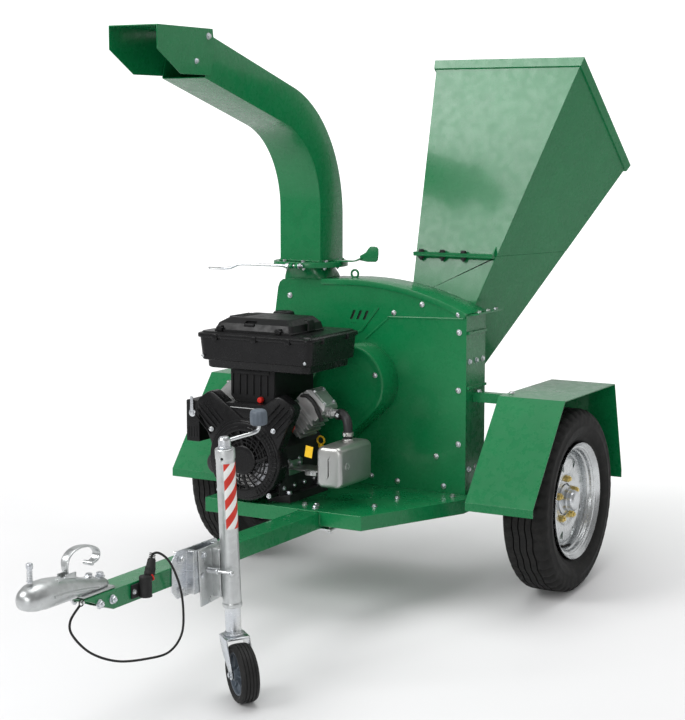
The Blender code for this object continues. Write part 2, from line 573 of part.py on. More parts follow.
# paddle handle that turns the chute, on the flange's right
arm = union(box(-0.190, -0.120, -0.100, -0.066, 1.0119, 1.0161), box(-0.188, -0.178, -0.098, -0.068, 1.0090, 1.0140), hull([(x, y, z) for x, y, z in ((-0.125, -0.096, 1.0121), (-0.125, -0.070, 1.0121), (-0.125, -0.096, 1.0161), (-0.125, -0.070, 1.0161),
            (-0.090, -0.090, 1.0250), (-0.090, -0.076, 1.0250), (-0.090, -0.090, 1.0290), (-0.090, -0.076, 1.0290))]),
            prism('y', [(-0.098, 1.018), (-0.070, 1.014), (-0.040, 1.015), (-0.034, 1.022), (-0.033, 1.056), (-0.040, 1.064), (-0.064, 1.064), (-0.072, 1.052), (-0.098, 1.032)], -0.0865, -0.0795))
node("spout_tube", union(spout, arm), GREEN, SP0, smooth=25)

# split clamp ring round the two flanges, opening at the front left
ring = lathe((SPOUT[0], SPOUT[1], 0), (0, 0, 1), [(0.1160, 0.9945), (0.1220, 0.9945), (0.1220, 1.0115), (0.1160, 1.0115)], 24)
lower_web = lathe((SPOUT[0], SPOUT[1], 0), (0, 0, 1), [(0.1000, 0.9950), (0.1180, 0.9950), (0.1180, 0.9995), (0.1000, 0.9995)], 24)
LA = radians(-82)
lx, ly = cos(LA), sin(LA)
tx, ty = -ly, lx


def at(rad, tan, z):
    return (SPOUT[0] + lx * rad + tx * tan, SPOUT[1] + ly * rad + ty * tan, z)


def lug(t0, t1):
    return hull([at(r, t, z) for r in (0.118, 0.150) for t in (t0, t1) for z in (0.9945, 1.0115)])


gapcut = hull([at(r, t, z) for r in (0.09, 0.16) for t in (-0.007, 0.007) for z in (0.98, 1.04)])
ring = union(ring, lug(-0.016, -0.004), lug(0.004, 0.016))
ring = cut(ring, gapcut, cyl(at(0.138, 0, 1.0030), (tx, ty, 0), 0.0056, -0.05, 0.05, 12))
node("spout_base", union(base, ring, lower_web), GREEN, smooth=25)
p0 = Vector(at(0.138, 0, 1.0030))
tv = Vector((tx, ty, 0))
lever = rod([p0 + tv * 0.030, p0 - tv * 0.190, p0 - tv * 0.226 + Vector((0, 0, -0.014)), p0 - tv * 0.306 + Vector((0, 0, -0.016))], 0.0045, 10)
lever = union(lever, cyl(p0, (tx, ty, 0), 0.0085, -0.030, -0.0168, 6), cyl(p0, (tx, ty, 0), 0.0085, 0.0168, 0.026, 6))
node("spout_clamp_lever", lever, ZINC, p0)

# deflector hood at the chute's mouth
HX0, HX1 = SPOUT_X0 - 0.0035, SPOUT_X1 + 0.0035
hood_pts = [(-1.040, 1.722), (-1.040, 1.655), (-0.929, 1.590), (-0.780, 1.590), (-0.758, 1.660), (-0.768, 1.722)]
hood = prism('x', hood_pts, HX0 - 0.003, HX1 + 0.003)
cut(hood, prism('x', [(-1.10, 1.719), (-1.10, 1.50), (-0.70, 1.50), (-0.70, 1.719)], HX0, HX1))
PIV = (0.0, -0.792, 1.700)
node("deflector_hood", hood, GREEN, PIV, smooth=20)

# ------------------------------------------------------------------- hopper
FS = (0.158 + 0.011) / (1.637 - 0.898)          # roof wall slope dy/dz
BS = (1.309 - 0.491) / (0.532 + 0.011)          # floor wall slope dz/dy
RN = Vector((-0.3318, 0.0990, 0.0977)).normalized()
RP = Vector((0.283, -0.011, 0.898))
roof = (Vector((0, -1, FS)).normalized(), Vector((0, -0.011, 0.898)))
floor = (Vector((0, BS, -1)).normalized(), Vector((0, -0.011, 0.491)))
left = (Vector((-1, 0, 0)), Vector((HOP_X, 0, 0)))
right = (-RN, RP)
if right[0].x < 0:
    right = (RN, RP)
mouth_n = Vector((0, 1, 0))
rim_n = Vector((0, 1.637 - 1.309, 0.532 - 0.158)).normalized()
rim_p = Vector((0, 0.158, 1.637))


def meet(a, b, c):
    m = Matrix((a[0], b[0], c[0]))
    return m.inverted() @ Vector((a[0].dot(a[1]), b[0].dot(b[1]), c[0].dot(c[1])))


def hopper_loop(d, cap):
    """Four corners where the walls, moved out by d, meet the plane cap."""
    w = [(nn, pp + nn * d) for nn, pp in (left, roof, right, floor)]
    return [meet(w[i], w[(i + 1) % 4], cap) for i in range(4)]


def hopper_solid(d, cap0, cap1):
    return loft([hopper_loop(d, cap0), hopper_loop(d, cap1)])


def plane_y(y):
    return (Vector((0, 1, 0)), Vector((0, y, 0)))


def plane_z(z):
    return (Vector((0, 0, 1)), Vector((0, 0, z)))


def plane_rim(t):
    return (rim_n, rim_p + rim_n * t)


MOUTH_Y = CASE_Y1 + GAP
BIGZ = 3.0


def above(z):
    return box(-1, 2, -1, 2, z, BIGZ)


def below(z):
    return box(-1, 2, -1, 2, -1, z)


shell_lo = cut(hopper_solid(0.0, plane_y(MOUTH_Y), plane_rim(0.0)), above(HOP_SPLIT - GAP / 2))
fy = -0.011 + (HOP_SPLIT - 0.898) * FS
fxr = hopper_loop(0.0, plane_z(HOP_SPLIT))
xr = max(q.x for q in fxr if q.y < fy + 0.01)
shell_lo = union(shell_lo, box(HOP_X, xr - 0.004, fy - 0.022, fy + 0.010, HOP_SPLIT - 0.0065, HOP_SPLIT - GAP / 2))
shell_lo = cut(shell_lo, hopper_solid(-SHEET, plane_y(MOUTH_Y - 0.05), plane_rim(0.05)))
node("hopper_lower", shell_lo, GREEN, smooth=20)
shell_up = cut(hopper_solid(0.0, plane_y(MOUTH_Y), plane_rim(0.0)), below(HOP_SPLIT + GAP / 2))
shell_up = union(shell_up, box(HOP_X, xr - 0.004, fy - 0.022, fy + 0.010, HOP_SPLIT + GAP / 2, HOP_SPLIT + 0.0065),
                 hull([(x, y, z) for x in (xr - 0.0075, xr - 0.0035) for y, z in ((fy - 0.022, HOP_SPLIT + 0.003), (fy + 0.012, HOP_SPLIT + 0.003), (fy + 0.012 + 0.045 * FS, HOP_SPLIT + 0.045))]),
                 loft([hopper_loop(0.006, plane_rim(-0.006)), hopper_loop(0.006, plane_rim(0.018))]))
shell_up = cut(shell_up, hopper_solid(-SHEET, plane_y(MOUTH_Y - 0.05), plane_rim(0.05)))
node("hopper_upper", shell_up, GREEN, smooth=20)

# ------------------------------------------------------ mudguards and struts
prof = [(-0.376, 0.306), (-0.376, 0.331), (-0.142, 0.623), (0.277, 0.623), (0.355, 0.328), (0.355, 0.303)]


def offset_open(pts, d):
    out = []
    n = len(pts)
    for i in range(n):
        segs = []
        for a, b in ((i - 1, i), (i, i + 1)):
            if a >= 0 and b < n:
                L = hypot(pts[b][0] - pts[a][0], pts[b][1] - pts[a][1])
                nx, nz = (pts[b][1] - pts[a][1]) / L, -(pts[b][0] - pts[a][0]) / L
                segs.append((nx, nz, nx * pts[i][0] + nz * pts[i][1] + d))
        if len(segs) == 1:
            out.append((pts[i][0] + segs[0][0] * d, pts[i][1] + segs[0][1] * d))
        else:
            a1, b1, c1 = segs[0]
            a2, b2, c2 = segs[1]
            det = a1 * b2 - a2 * b1
            out.append(((c1 * b2 - c2 * b1) / det, (a1 * c2 - a2 * c1) / det))
    return out


for s, nm in ((1, "right"), (-1, "left")):
    a, b = (GUARD_X0, GUARD_X1) if s > 0 else (-GUARD_X1, -GUARD_X0)
    g = prism('x', prof + offset_open(prof, SHEET)[::-1], a, b)
    if s > 0:
        st = union(box(CASE_RIGHT + GAP, GUARD_X0 + 0.030, -0.100, -0.070, 0.6150, 0.6210), box(CASE_RIGHT + GAP, GUARD_X0 - GAP, -0.100, -0.096, 0.590, 0.6180))
    else:
        st = union(box(-GUARD_X0 - 0.030, CASE_LEFT - GAP, -0.100, -0.070, 0.6150, 0.6210), box(-GUARD_X0 + GAP, CASE_LEFT - GAP, -0.100, -0.096, 0.590, 0.6180))
    node("mudguard_" + nm, union(g, st), GREEN, smooth=15)

# -------------------------------------------------------------- road wheels
tyre_prof = [(0.1665, -0.0550), (0.1850, -0.0552), (0.1980, -0.0640), (0.2300, -0.0750), (0.2720, -0.0690), (TYRE_R, -0.0480),
             (TYRE_R, 0.0480), (0.2720, 0.0690), (0.2300, 0.0750), (0.1980, 0.0640), (0.1850, 0.0552), (0.1665, 0.0550),
             (0.1665, 0.0450), (0.2400, 0.0580), (0.2400, -0.0580), (0.1665, -0.0450)]
for s, nm in ((1, "right"), (-1, "left")):
    wc = (s * WHEEL_X, 0.0, AXLE_Z)
    ax = (s, 0, 0)
    node("tyre_" + nm, lathe(wc, ax, tyre_prof, 32), TYRE, wc)
    rim_prof = [(0.0520, 0.0200), (0.1000, 0.0300), (0.1380, 0.0300), (0.1560, 0.0180), (0.1600, 0.0580), (0.1800, 0.0620), (RIM_R, 0.0660),
                (0.1820, 0.0575), (0.1655, 0.0570), (0.1655, -0.0570), (0.1820, -0.0575), (RIM_R, -0.0640),
                (0.1600, -0.0600), (0.1600, 0.0050), (0.1380, 0.0250), (0.1000, 0.0260), (0.0520, 0.0160)]
    rim = lathe(wc, ax, rim_prof, 24)
    for k in range(8):
        a = 2 * pi * (k + 0.5) / 8
        c = Vector(wc) + Vector((0, cos(a) * 0.118, sin(a) * 0.118))
        rim = cut(rim, cyl(c, ax, 0.014, 0.0, 0.06, 6))
    node("rim_" + nm, rim, GALV, wc)
    hub_prof = [(0.0165, -0.0650), (0.0400, -0.0650), (0.0400, -0.0100), (0.0620, -0.0060), (0.0620, 0.0150), (0.0500, 0.0157), (0.0500, 0.0200), (0.0360, 0.0240),
                (0.0330, 0.0520), (0.0, 0.0620), (0.0, 0.0400), (0.0165, 0.0400)]
    node("hub_" + nm, lathe(wc, ax, hub_prof, 16), ZINC, wc)

# ----------------------------------------------------------------- coupling
cb = union(box(-0.032, 0.032, -1.700, -1.575, BAR_TOP + GAP, BAR_TOP + 0.008),
           hull([(x, y, z) for y, hw, z0, z1 in ((-1.600, 0.030, 0.3000, 0.322), (-1.720, 0.034, 0.2990, 0.350), (-1.800, 0.040, 0.300, 0.362), (-1.860, 0.036, 0.302, 0.360), (-1.893, 0.022, 0.312, 0.350))
                 for x in (-hw, hw) for z in (z0, z1 - 0.010)] +
                [(x, y, z) for y, hw, z in ((-1.600, 0.022, 0.328), (-1.720, 0.024, 0.358), (-1.800, 0.028, 0.370), (-1.860, 0.024, 0.366), (-1.896, 0.012, 0.352)) for x in (-hw, hw)]))
ball = lathe((0, -1.845, 0.3180), (0, 0, 1), [(0.0, 0.0260), (0.0130, 0.0225), (0.0225, 0.0130), (0.0260, 0.0), (0.0260, -0.05), (0.0, -0.05)], 16)
cut(cb, ball, box(-0.014, 0.014, -1.8245, -1.7595, 0.28, 0.3480), box(-0.0095, 0.0095, -1.760, -1.690, 0.3320, 0.40))
node("coupling_body", cb, GALV, smooth=30)
HP = (0.0, -1.725, 0.3480)
jaw = box(-0.0125, 0.0125, -1.8170, -1.7640, 0.3035, 0.3350)
node("coupling_jaw", jaw, GALV, (0.0, -1.770, 0.3300), smooth=20)
hnd = union(cyl(HP, (1, 0, 0), 0.0105, -0.0090, 0.0090, 14),
            rod([(0, -1.725, 0.350), (0, -1.732, 0.385), (0, -1.722, 0.408), (0, -1.690, 0.420), (0, -1.655, 0.419), (0, -1.622, 0.409), (0, -1.606, 0.392), (0, -1.614, 0.374), (0, -1.640, 0.372)], 0.0075, 8))
node("coupling_handle", hnd, GALV, HP)
TP = (0.0, -1.862, 0.3700)
node("coupling_trigger", union(cyl(TP, (0, 0, 1), 0.0060, 0.0003, 0.042, 12), cyl(TP, (0, 0, 1), 0.0085, 0.036, 0.050, 12)), GALV, TP)

# ---------------------------------------------- plug holder and break cable
plug = union(box(BAR_HALF + GAP, BAR_HALF + 0.006, -1.520, -1.440, 0.256, 0.292), cyl((0.0560, -1.480, 0.255), (0, 0, 1), 0.0170, 0.0, 0.055, 14),
             cyl((0.0560, -1.480, 0.255), (0, 0.30, 1), 0.0130, 0.045, 0.098, 14))
loop_c = []
knots = [(0.057, -1.4600, 0.3400), (0.058, -1.4500, 0.3600), (0.062, -1.425, 0.3570), (0.064, -1.385, 0.325), (0.064, -1.345, 0.260), (0.062, -1.325, 0.190), (0.060, -1.330, 0.120),
         (0.058, -1.385, 0.085), (0.056, -1.480, 0.092), (0.054, -1.600, 0.118), (0.050, -1.700, 0.165), (0.047, -1.765, 0.225), (0.046, -1.772, 0.262), (0.046, -1.735, 0.292)]
for i in range(len(knots) - 1):
    p = [Vector(knots[max(0, min(len(knots) - 1, i + j))]) for j in (-1, 0, 1, 2)]
    for k in range(2):
        t = k / 2
        loop_c.append(0.5 * ((2 * p[1]) + (p[2] - p[0]) * t + (2 * p[0] - 5 * p[1] + 4 * p[2] - p[3]) * t * t + (3 * p[1] - p[0] - 3 * p[2] + p[3]) * t ** 3))
loop_c.append(Vector(knots[-1]))
node("trailer_plug_and_cable", union(plug, rod(loop_c, 0.0032, 5)), RUBBER)

# ------------------------------------------------ jockey stand (upright frame)
def wpt(x, y, z):
    """Level machine point carried into the final frame."""
    return TO_WORLD @ Vector((x, y, z))


BX = BAR_HALF + GAP
brk = union(prism('x', [(-1.345, 0.232), (-1.322, 0.209), (-1.125, 0.209), (-1.125, 0.322), (-1.140, 0.337), (-1.322, 0.337), (-1.345, 0.314)], BX, BX + 0.005),
            box(BX, 0.0655, -1.280, -1.262, 0.214, 0.331), box(BX, 0.0655, -1.170, -1.152, 0.214, 0.331),
            box(0.0610, 0.0660, -1.280, -1.152, 0.214, 0.331))
node("jockey_bracket", brk, ZINC, smooth=20)
PV = wpt(0.0, JOCKEY[1], 0.2825)                  # swing pivot height on the bracket
JX, JY = JOCKEY
top_z, bot_z = 0.686, 0.2495
plate = union(box(0.0665, 0.0715, JY - 0.074, JY + 0.052, PV.z - 0.103, PV.z + 0.053),
              box(0.0700, 0.0975, JY - 0.016, JY + 0.016, PV.z - 0.090, PV.z + 0.045),
              cyl((JX, JY, 0), (0, 0, 1), JOCKEY_R, bot_z, top_z, 20))
cut(plate, cyl((JX, JY, 0), (0, 0, 1), 0.0228, bot_z - 0.05, top_z - 0.004, 20), cyl((JX, JY, 0), (0, 0, 1), 0.0075, 0.5, 0.7, 12))
node("jockey_outer_tube", plate, GALV, (0.0665, JY, PV.z), upright)
# pull pin with its spring barrel and ball end
PINY, PINZ = JY - 0.041, PV.z - 0.009
node("jockey_pin", union(cyl((0, PINY, PINZ), (1, 0, 0), 0.0042, 0.0719, 0.1500, 12), cyl((0, PINY, PINZ), (1, 0, 0), 0.0085, 0.0719, 0.1080, 12),
                         cyl((0, PINY, PINZ), (1, 0, 0), 0.0072, 0.1440, 0.1560, 12)), ZINC, (0.0719, PINY, PINZ), upright)
# inner tube with its foot plate
inner_t = union(cut(cyl((JX, JY, 0), (0, 0, 1), 0.0215, 0.1725, 0.420, 20), cyl((JX, JY, 0), (0, 0, 1), 0.0170, 0.184, 0.5, 20)),
                cyl((JX, JY, 0), (0, 0, 1), 0.0270, 0.1705, 0.1765, 20))
node("jockey_inner_tube", inner_t, ZINC, (JX, JY, 0.1705), upright)
# swivelling fork and wheel
td = Vector((0.783, -0.622, 0)).normalized()      # trail direction
wd = Vector((-td.y, td.x, 0))                     # wheel axle direction
wc = Vector((JX, JY, 0)) + td * JTRAIL + Vector((0, 0, JWHEEL_R))


def fk(a, b, z):
    """Point a along the trail, b along the wheel's axle, z up."""
    q = Vector((JX, JY, 0)) + td * a + wd * b
    return (q.x, q.y, z)


crown = hull([fk(a, b, z) for a in (-0.026, 0.038) for b in (-0.0345, 0.0345) for z in (0.1640, 0.1700)])
legs = []
for sgn in (-1, 1):
    b0, b1 = sgn * 0.0302, sgn * 0.0338
    legs.append(hull([fk(a, b, z) for b in (b0, b1) for a, z in ((-0.024, 0.1685), (0.036, 0.1685), (JTRAIL + 0.014, 0.090), (JTRAIL + 0.008, 0.066), (JTRAIL - 0.012, 0.066))]))
axle_j = cyl(wc, wd, 0.0050, -0.0390, 0.0390, 12)
node("jockey_fork", union(crown, legs[0], legs[1], axle_j), ZINC, (JX, JY, 0.1705), upright, smooth=25)
node("jockey_wheel_rim", lathe(wc, wd, [(0.0062, -0.0270), (0.0160, -0.0270), (0.0180, -0.0100), (0.0530, -0.0080), (0.0530, -0.0190), (0.0580, -0.0190), (0.0580, 0.0190), (0.0530, 0.0190),
                                        (0.0530, 0.0080), (0.0180, 0.0100), (0.0160, 0.0270), (0.0062, 0.0270)], 20), GREY, wc, upright)
node("jockey_wheel_tyre", lathe(wc, wd, [(0.0583, -0.0200), (0.0680, -0.0260), (0.0765, -0.0235), (JWHEEL_R, -0.0140), (JWHEEL_R, 0.0140), (0.0765, 0.0235), (0.0680, 0.0260), (0.0583, 0.0200)], 20), RUBBER, wc, upright)
# winding spindle, crank arm and knob
HD = Vector((0.57, 0.82, 0)).normalized()
hz = top_z + GAP
KC = Vector((JX, JY, 0)) + HD * 0.100
spin = cyl((JX, JY, 0), (0, 0, 1), 0.0060, 0.440, hz + 0.010, 12)
boss = cyl((JX, JY, 0), (0, 0, 1), 0.0182, hz, hz + 0.031, 20)
AC = Vector((JX, JY, 0))
arm2 = rod([AC + HD * 0.004 + Vector((0, 0, hz + 0.018)), AC + HD * 0.088 + Vector((0, 0, hz + 0.030)), AC + HD * 0.098 + Vector((0, 0, hz + 0.036)),
            KC + Vector((0, 0, hz + 0.046)), KC + Vector((0, 0, hz + 0.085))], 0.0050, 10)
node("jockey_crank", union(boss, spin, arm2), ZINC, (JX, JY, hz), upright)
node("jockey_knob", cut(lathe((KC.x, KC.y, hz), (0, 0, 1), [(0.0, 0.0500), (0.0200, 0.0500), (0.0235, 0.0560), (0.0235, 0.0840), (0.0190, 0.0920), (0.0, 0.0920)], 16),
                        cyl((KC.x, KC.y, hz), (0, 0, 1), 0.0062, 0.0, 0.0870, 12)), GREY, (KC.x, KC.y, hz), upright)
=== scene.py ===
"""Looks for the towable wood chipper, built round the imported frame."""

import json
from math import sin, cos, pi, radians, sqrt, hypot, atan2, degrees, atan, floor as ifloor

import bmesh
import bpy
from mathutils import Vector, Matrix

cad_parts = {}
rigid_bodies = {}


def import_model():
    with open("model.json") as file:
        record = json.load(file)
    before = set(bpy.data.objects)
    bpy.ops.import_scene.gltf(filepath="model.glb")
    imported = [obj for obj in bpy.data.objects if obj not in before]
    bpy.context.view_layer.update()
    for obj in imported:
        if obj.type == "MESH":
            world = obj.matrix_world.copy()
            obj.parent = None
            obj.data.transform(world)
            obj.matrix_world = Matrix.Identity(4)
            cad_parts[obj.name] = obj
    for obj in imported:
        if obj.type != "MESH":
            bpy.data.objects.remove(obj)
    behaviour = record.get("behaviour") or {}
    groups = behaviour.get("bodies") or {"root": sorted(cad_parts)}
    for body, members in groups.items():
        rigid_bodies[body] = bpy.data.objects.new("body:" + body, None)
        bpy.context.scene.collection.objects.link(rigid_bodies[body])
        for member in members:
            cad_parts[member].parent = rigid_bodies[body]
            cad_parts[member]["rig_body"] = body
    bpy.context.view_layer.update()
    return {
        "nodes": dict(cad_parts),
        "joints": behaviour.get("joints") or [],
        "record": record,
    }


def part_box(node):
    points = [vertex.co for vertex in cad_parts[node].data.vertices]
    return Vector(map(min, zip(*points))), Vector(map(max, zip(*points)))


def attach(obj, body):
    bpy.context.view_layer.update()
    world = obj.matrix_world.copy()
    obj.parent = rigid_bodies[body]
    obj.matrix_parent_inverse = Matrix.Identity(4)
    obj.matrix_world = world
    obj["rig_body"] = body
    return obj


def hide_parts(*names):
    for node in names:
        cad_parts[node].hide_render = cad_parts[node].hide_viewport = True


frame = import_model()
COL = bpy.context.scene.collection
JOINT = {j["name"]: j for j in frame["joints"]}

# --------------------------------------------------------------- machine frame
# The machine is modelled level and stands nose-up on its jockey wheel. The pitch
# comes from the chute's turning axis, and the pivot is the road wheels' centre.
_ax = Vector(JOINT["spout_turn"]["axis"]).normalized()
PITCH = atan2(_ax.y, _ax.z)
_tlo, _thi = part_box("tyre_right")
AXLE = Vector((0.0, (_tlo.y + _thi.y) / 2, (_tlo.z + _thi.z) / 2))
M = Matrix.Translation(AXLE) @ Matrix.Rotation(-PITCH, 4, 'X') @ Matrix.Translation((0.0, 0.0, -AXLE.z))
UP = Matrix.Translation((0.0, AXLE.y, 0.0))
MI = M.inverted()
ID = Matrix.Identity(4)


def mbox(name):
    """A CAD node's box in the machine's own level frame."""
    pts = [MI @ v.co for v in frame["nodes"][name].data.vertices]
    return (Vector((min(p.x for p in pts), min(p.y for p in pts), min(p.z for p in pts))),
            Vector((max(p.x for p in pts), max(p.y for p in pts), max(p.z for p in pts))))


def mid(lo, hi):
    return (lo + hi) / 2


# ------------------------------------------------------------------ materials
class Tree:
    """Small helper for building a node tree."""

    def __init__(self, name, base, rough, metal):
        self.m = bpy.data.materials.new(name)
        self.m.use_nodes = True
        self.nt = self.m.node_tree
        self.p = self.nt.nodes["Principled BSDF"]
        self.p.inputs["Base Color"].default_value = (*base, 1.0)
        self.p.inputs["Roughness"].default_value = rough
        self.p.inputs["Metallic"].default_value = metal
        self.m.diffuse_color = (*base, 1.0)
        tc = self.nt.nodes.new("ShaderNodeTexCoord")
        self.co = tc.outputs["Object"]

    def noise(self, scale, detail=3.0, rough=0.55, co=None):
        n = self.nt.nodes.new("ShaderNodeTexNoise")
        n.inputs["Scale"].default_value = scale
        n.inputs["Detail"].default_value = detail
        n.inputs["Roughness"].default_value = rough
        self.nt.links.new(co or self.co, n.inputs["Vector"])
        return n.outputs["Fac"]

    def voronoi(self, scale, feature='F1', out="Distance", co=None):
        n = self.nt.nodes.new("ShaderNodeTexVoronoi")
        n.feature = feature
        n.inputs["Scale"].default_value = scale
        self.nt.links.new(co or self.co, n.inputs["Vector"])
        return n.outputs[out]

    def mapping(self, scale, rot=(0, 0, 0)):
        n = self.nt.nodes.new("ShaderNodeMapping")
        n.inputs["Scale"].default_value = scale
        n.inputs["Rotation"].default_value = rot
        self.nt.links.new(self.co, n.inputs["Vector"])
        return n.outputs["Vector"]

    def ramp(self, fac, stops):
        n = self.nt.nodes.new("ShaderNodeValToRGB")
        els = n.color_ramp.elements
        while len(els) < len(stops):
            els.new(0.5)
        for e, (pos, col) in zip(els, stops):
            e.position = pos
            e.color = (*col, 1.0) if len(col) == 3 else col
        self.nt.links.new(fac, n.inputs["Fac"])
        return n.outputs["Color"]

    def rng(self, fac, a, b, c, d):
        n = self.nt.nodes.new("ShaderNodeMapRange")
        for k, v in zip(("From Min", "From Max", "To Min", "To Max"), (a, b, c, d)):
            n.inputs[k].default_value = v
        self.nt.links.new(fac, n.inputs["Value"])
        return n.outputs["Result"]

    def math(self, op, a, b=None, c=None):
        n = self.nt.nodes.new("ShaderNodeMath")
        n.operation = op
        for i, v in enumerate((a, b, c)):
            if v is None:
                continue
            if isinstance(v, (int, float)):
                n.inputs[i].default_value = v
            else:
                self.nt.links.new(v, n.inputs[i])
        return n.outputs["Value"]

    def mix(self, fac, a, b, mode='MIX'):
        n = self.nt.nodes.new("ShaderNodeMix")
        n.data_type = 'RGBA'
        n.blend_type = mode
        if isinstance(fac, (int, float)):
            n.inputs["Factor"].default_value = fac
        else:
            self.nt.links.new(fac, n.inputs["Factor"])
        for k, v in ((6, a), (7, b)):
            if isinstance(v, tuple):
                n.inputs[k].default_value = (*v, 1.0) if len(v) == 3 else v
            else:
                self.nt.links.new(v, n.inputs[k])
        return n.outputs[2]

    def bump(self, height, strength, distance, normal=None):
        n = self.nt.nodes.new("ShaderNodeBump")
        n.inputs["Strength"].default_value = strength
        n.inputs["Distance"].default_value = distance
        self.nt.links.new(height, n.inputs["Height"])
        if normal is not None:
            self.nt.links.new(normal, n.inputs["Normal"])
        return n.outputs["Normal"]

    def edge(self, radius=0.0025):
        """About 0 on flats and up to 1 on outer edges and creases."""
        b = self.nt.nodes.new("ShaderNodeBevel")
        b.samples = 4
        b.inputs["Radius"].default_value = radius
        g = self.nt.nodes.new("ShaderNodeNewGeometry")
        d = self.nt.nodes.new("ShaderNodeVectorMath")
        d.operation = 'DOT_PRODUCT'
        self.nt.links.new(b.outputs["Normal"], d.inputs[0])
        self.nt.links.new(g.outputs["Normal"], d.inputs[1])
        return self.rng(d.outputs["Value"], 0.995, 0.86, 0.0, 1.0)

    def up(self):
        """How far a surface faces up, 0 to 1: where dust settles."""
        g = self.nt.nodes.new("ShaderNodeNewGeometry")
        s = self.nt.nodes.new("ShaderNodeSeparateXYZ")
        self.nt.links.new(g.outputs["Normal"], s.inputs[0])
        return self.rng(s.outputs["Z"], 0.55, 1.0, 0.0, 1.0)

    def set(self, key, out):
        self.nt.links.new(out, self.p.inputs[key])
        return self

    def done(self, **kw):
        for k, v in kw.items():
            self.p.inputs[k.replace("_", " ")].default_value = v
        return self.m


def enamel(name, base, lift, rough=0.27, coat=0.16):
    """Sprayed enamel on sheet steel: tone drift, orange peel, faint edge wear that is also a painted highlight along
    edges, and dust.
    """
    t = Tree(name, base, rough, 0.0)
    big = t.noise(2.3, 3)
    mid_n = t.noise(17.0, 4, 0.6)
    col = t.ramp(big, [(0.3, tuple(c * 0.90 for c in base)), (0.55, base), (0.75, tuple(min(1, c * 1.10 + 0.002) for c in base))])
    dark = t.ramp(mid_n, [(0.35, (0.93, 0.93, 0.93)), (0.65, (1.0, 1.0, 1.0))])
    col = t.mix(1.0, col, dark, 'MULTIPLY')
    e = t.edge(0.0022)
    # edge wear and painted edge highlight: edges and creases are lightened towards the lift colour
    edge_wear_and_highlight = t.math('MULTIPLY', e, t.rng(t.noise(140.0, 4, 0.7), 0.50, 0.66, 0.0, 0.55))
    col = t.mix(edge_wear_and_highlight, col, lift)
    dust = t.math('MULTIPLY', t.up(), t.rng(t.noise(9.0, 6, 0.7), 0.42, 0.75, 0.0, 0.05))
    col = t.mix(dust, col, (0.30, 0.31, 0.27))
    t.set("Base Color", col)
    r = t.math('ADD', t.rng(t.noise(38.0, 5, 0.65), 0.3, 0.75, rough * 0.8, rough * 1.35), t.math('MULTIPLY', dust, 1.5))
    t.set("Roughness", r)
    n1 = t.bump(t.noise(6.0, 2, 0.4), 0.10, 0.004)
    n2 = t.bump(t.noise(620.0, 2, 0.5), 0.07, 0.0006, n1)
    t.set("Normal", n2)
    return t.done(Coat_Weight=coat, Coat_Roughness=0.07, Specular_IOR_Level=0.36)


def galvanised(name, base=(0.60, 0.62, 0.62), rough=0.36, spangle=85.0, metal=0.92):
    """Hot-dip zinc: spangle cells, soft clouding and dull patches."""
    t = Tree(name, base, rough, metal)
    cells = t.voronoi(spangle, 'F1', "Color")
    bw = t.nt.nodes.new("ShaderNodeRGBToBW")
    t.nt.links.new(cells, bw.inputs[0])
    cloud = t.noise(7.0, 5, 0.6)
    col = t.ramp(cloud, [(0.30, tuple(c * 0.82 for c in base)), (0.6, base), (0.8, tuple(min(1, c * 1.08) for c in base))])
    sp = t.rng(bw.outputs[0], 0.0, 1.0, 0.88, 1.06)
    comb = t.nt.nodes.new("ShaderNodeCombineXYZ")
    for i in range(3):
        t.nt.links.new(sp, comb.inputs[i])
    col = t.mix(1.0, col, comb.outputs[0], 'MULTIPLY')
    t.set("Base Color", col)
    t.set("Roughness", t.math('ADD', t.rng(bw.outputs[0], 0, 1, rough * 0.75, rough * 1.15), t.rng(t.noise(30, 4, 0.6), 0.3, 0.7, -0.03, 0.07)))
    n = t.bump(t.noise(210.0, 3, 0.6), 0.10, 0.0008)
    t.set("Normal", t.bump(t.noise(22.0, 3), 0.10, 0.002, n))
    return t.done()


def plated(name, base=(0.66, 0.68, 0.70), rough=0.28, metal=1.0):
    """Bright zinc plate: fine draw lines and slight blue-yellow drift."""
    t = Tree(name, base, rough, metal)
    drift = t.noise(11.0, 3)
    col = t.ramp(drift, [(0.25, (base[0] * 0.92, base[1] * 0.95, base[2] * 1.0)), (0.5, base), (0.8, (base[0] * 1.02, base[1] * 1.0, base[2] * 0.90))])
    t.set("Base Color", col)
    lines = t.noise(60.0, 4, 0.6, t.mapping((1.0, 1.0, 9.0)))
    t.set("Roughness", t.rng(lines, 0.3, 0.7, rough * 0.75, rough * 1.6))
    t.set("Normal", t.bump(lines, 0.02, 0.0005))
    return t.done()


def cast(name, base=(0.44, 0.45, 0.45), rough=0.46, metal=0.85, grain=520.0):
    t = Tree(name, base, rough, metal)
    n = t.noise(18.0, 5, 0.6)
    t.set("Base Color", t.ramp(n, [(0.3, tuple(c * 0.78 for c in base)), (0.6, base), (0.85, tuple(min(1, c * 1.12) for c in base))]))
    g = t.noise(grain, 3, 0.7)
    t.set("Roughness", t.rng(g, 0.3, 0.7, rough * 0.85, rough * 1.2))
    t.set("Normal", t.bump(g, 0.25, 0.0008))
    return t.done()


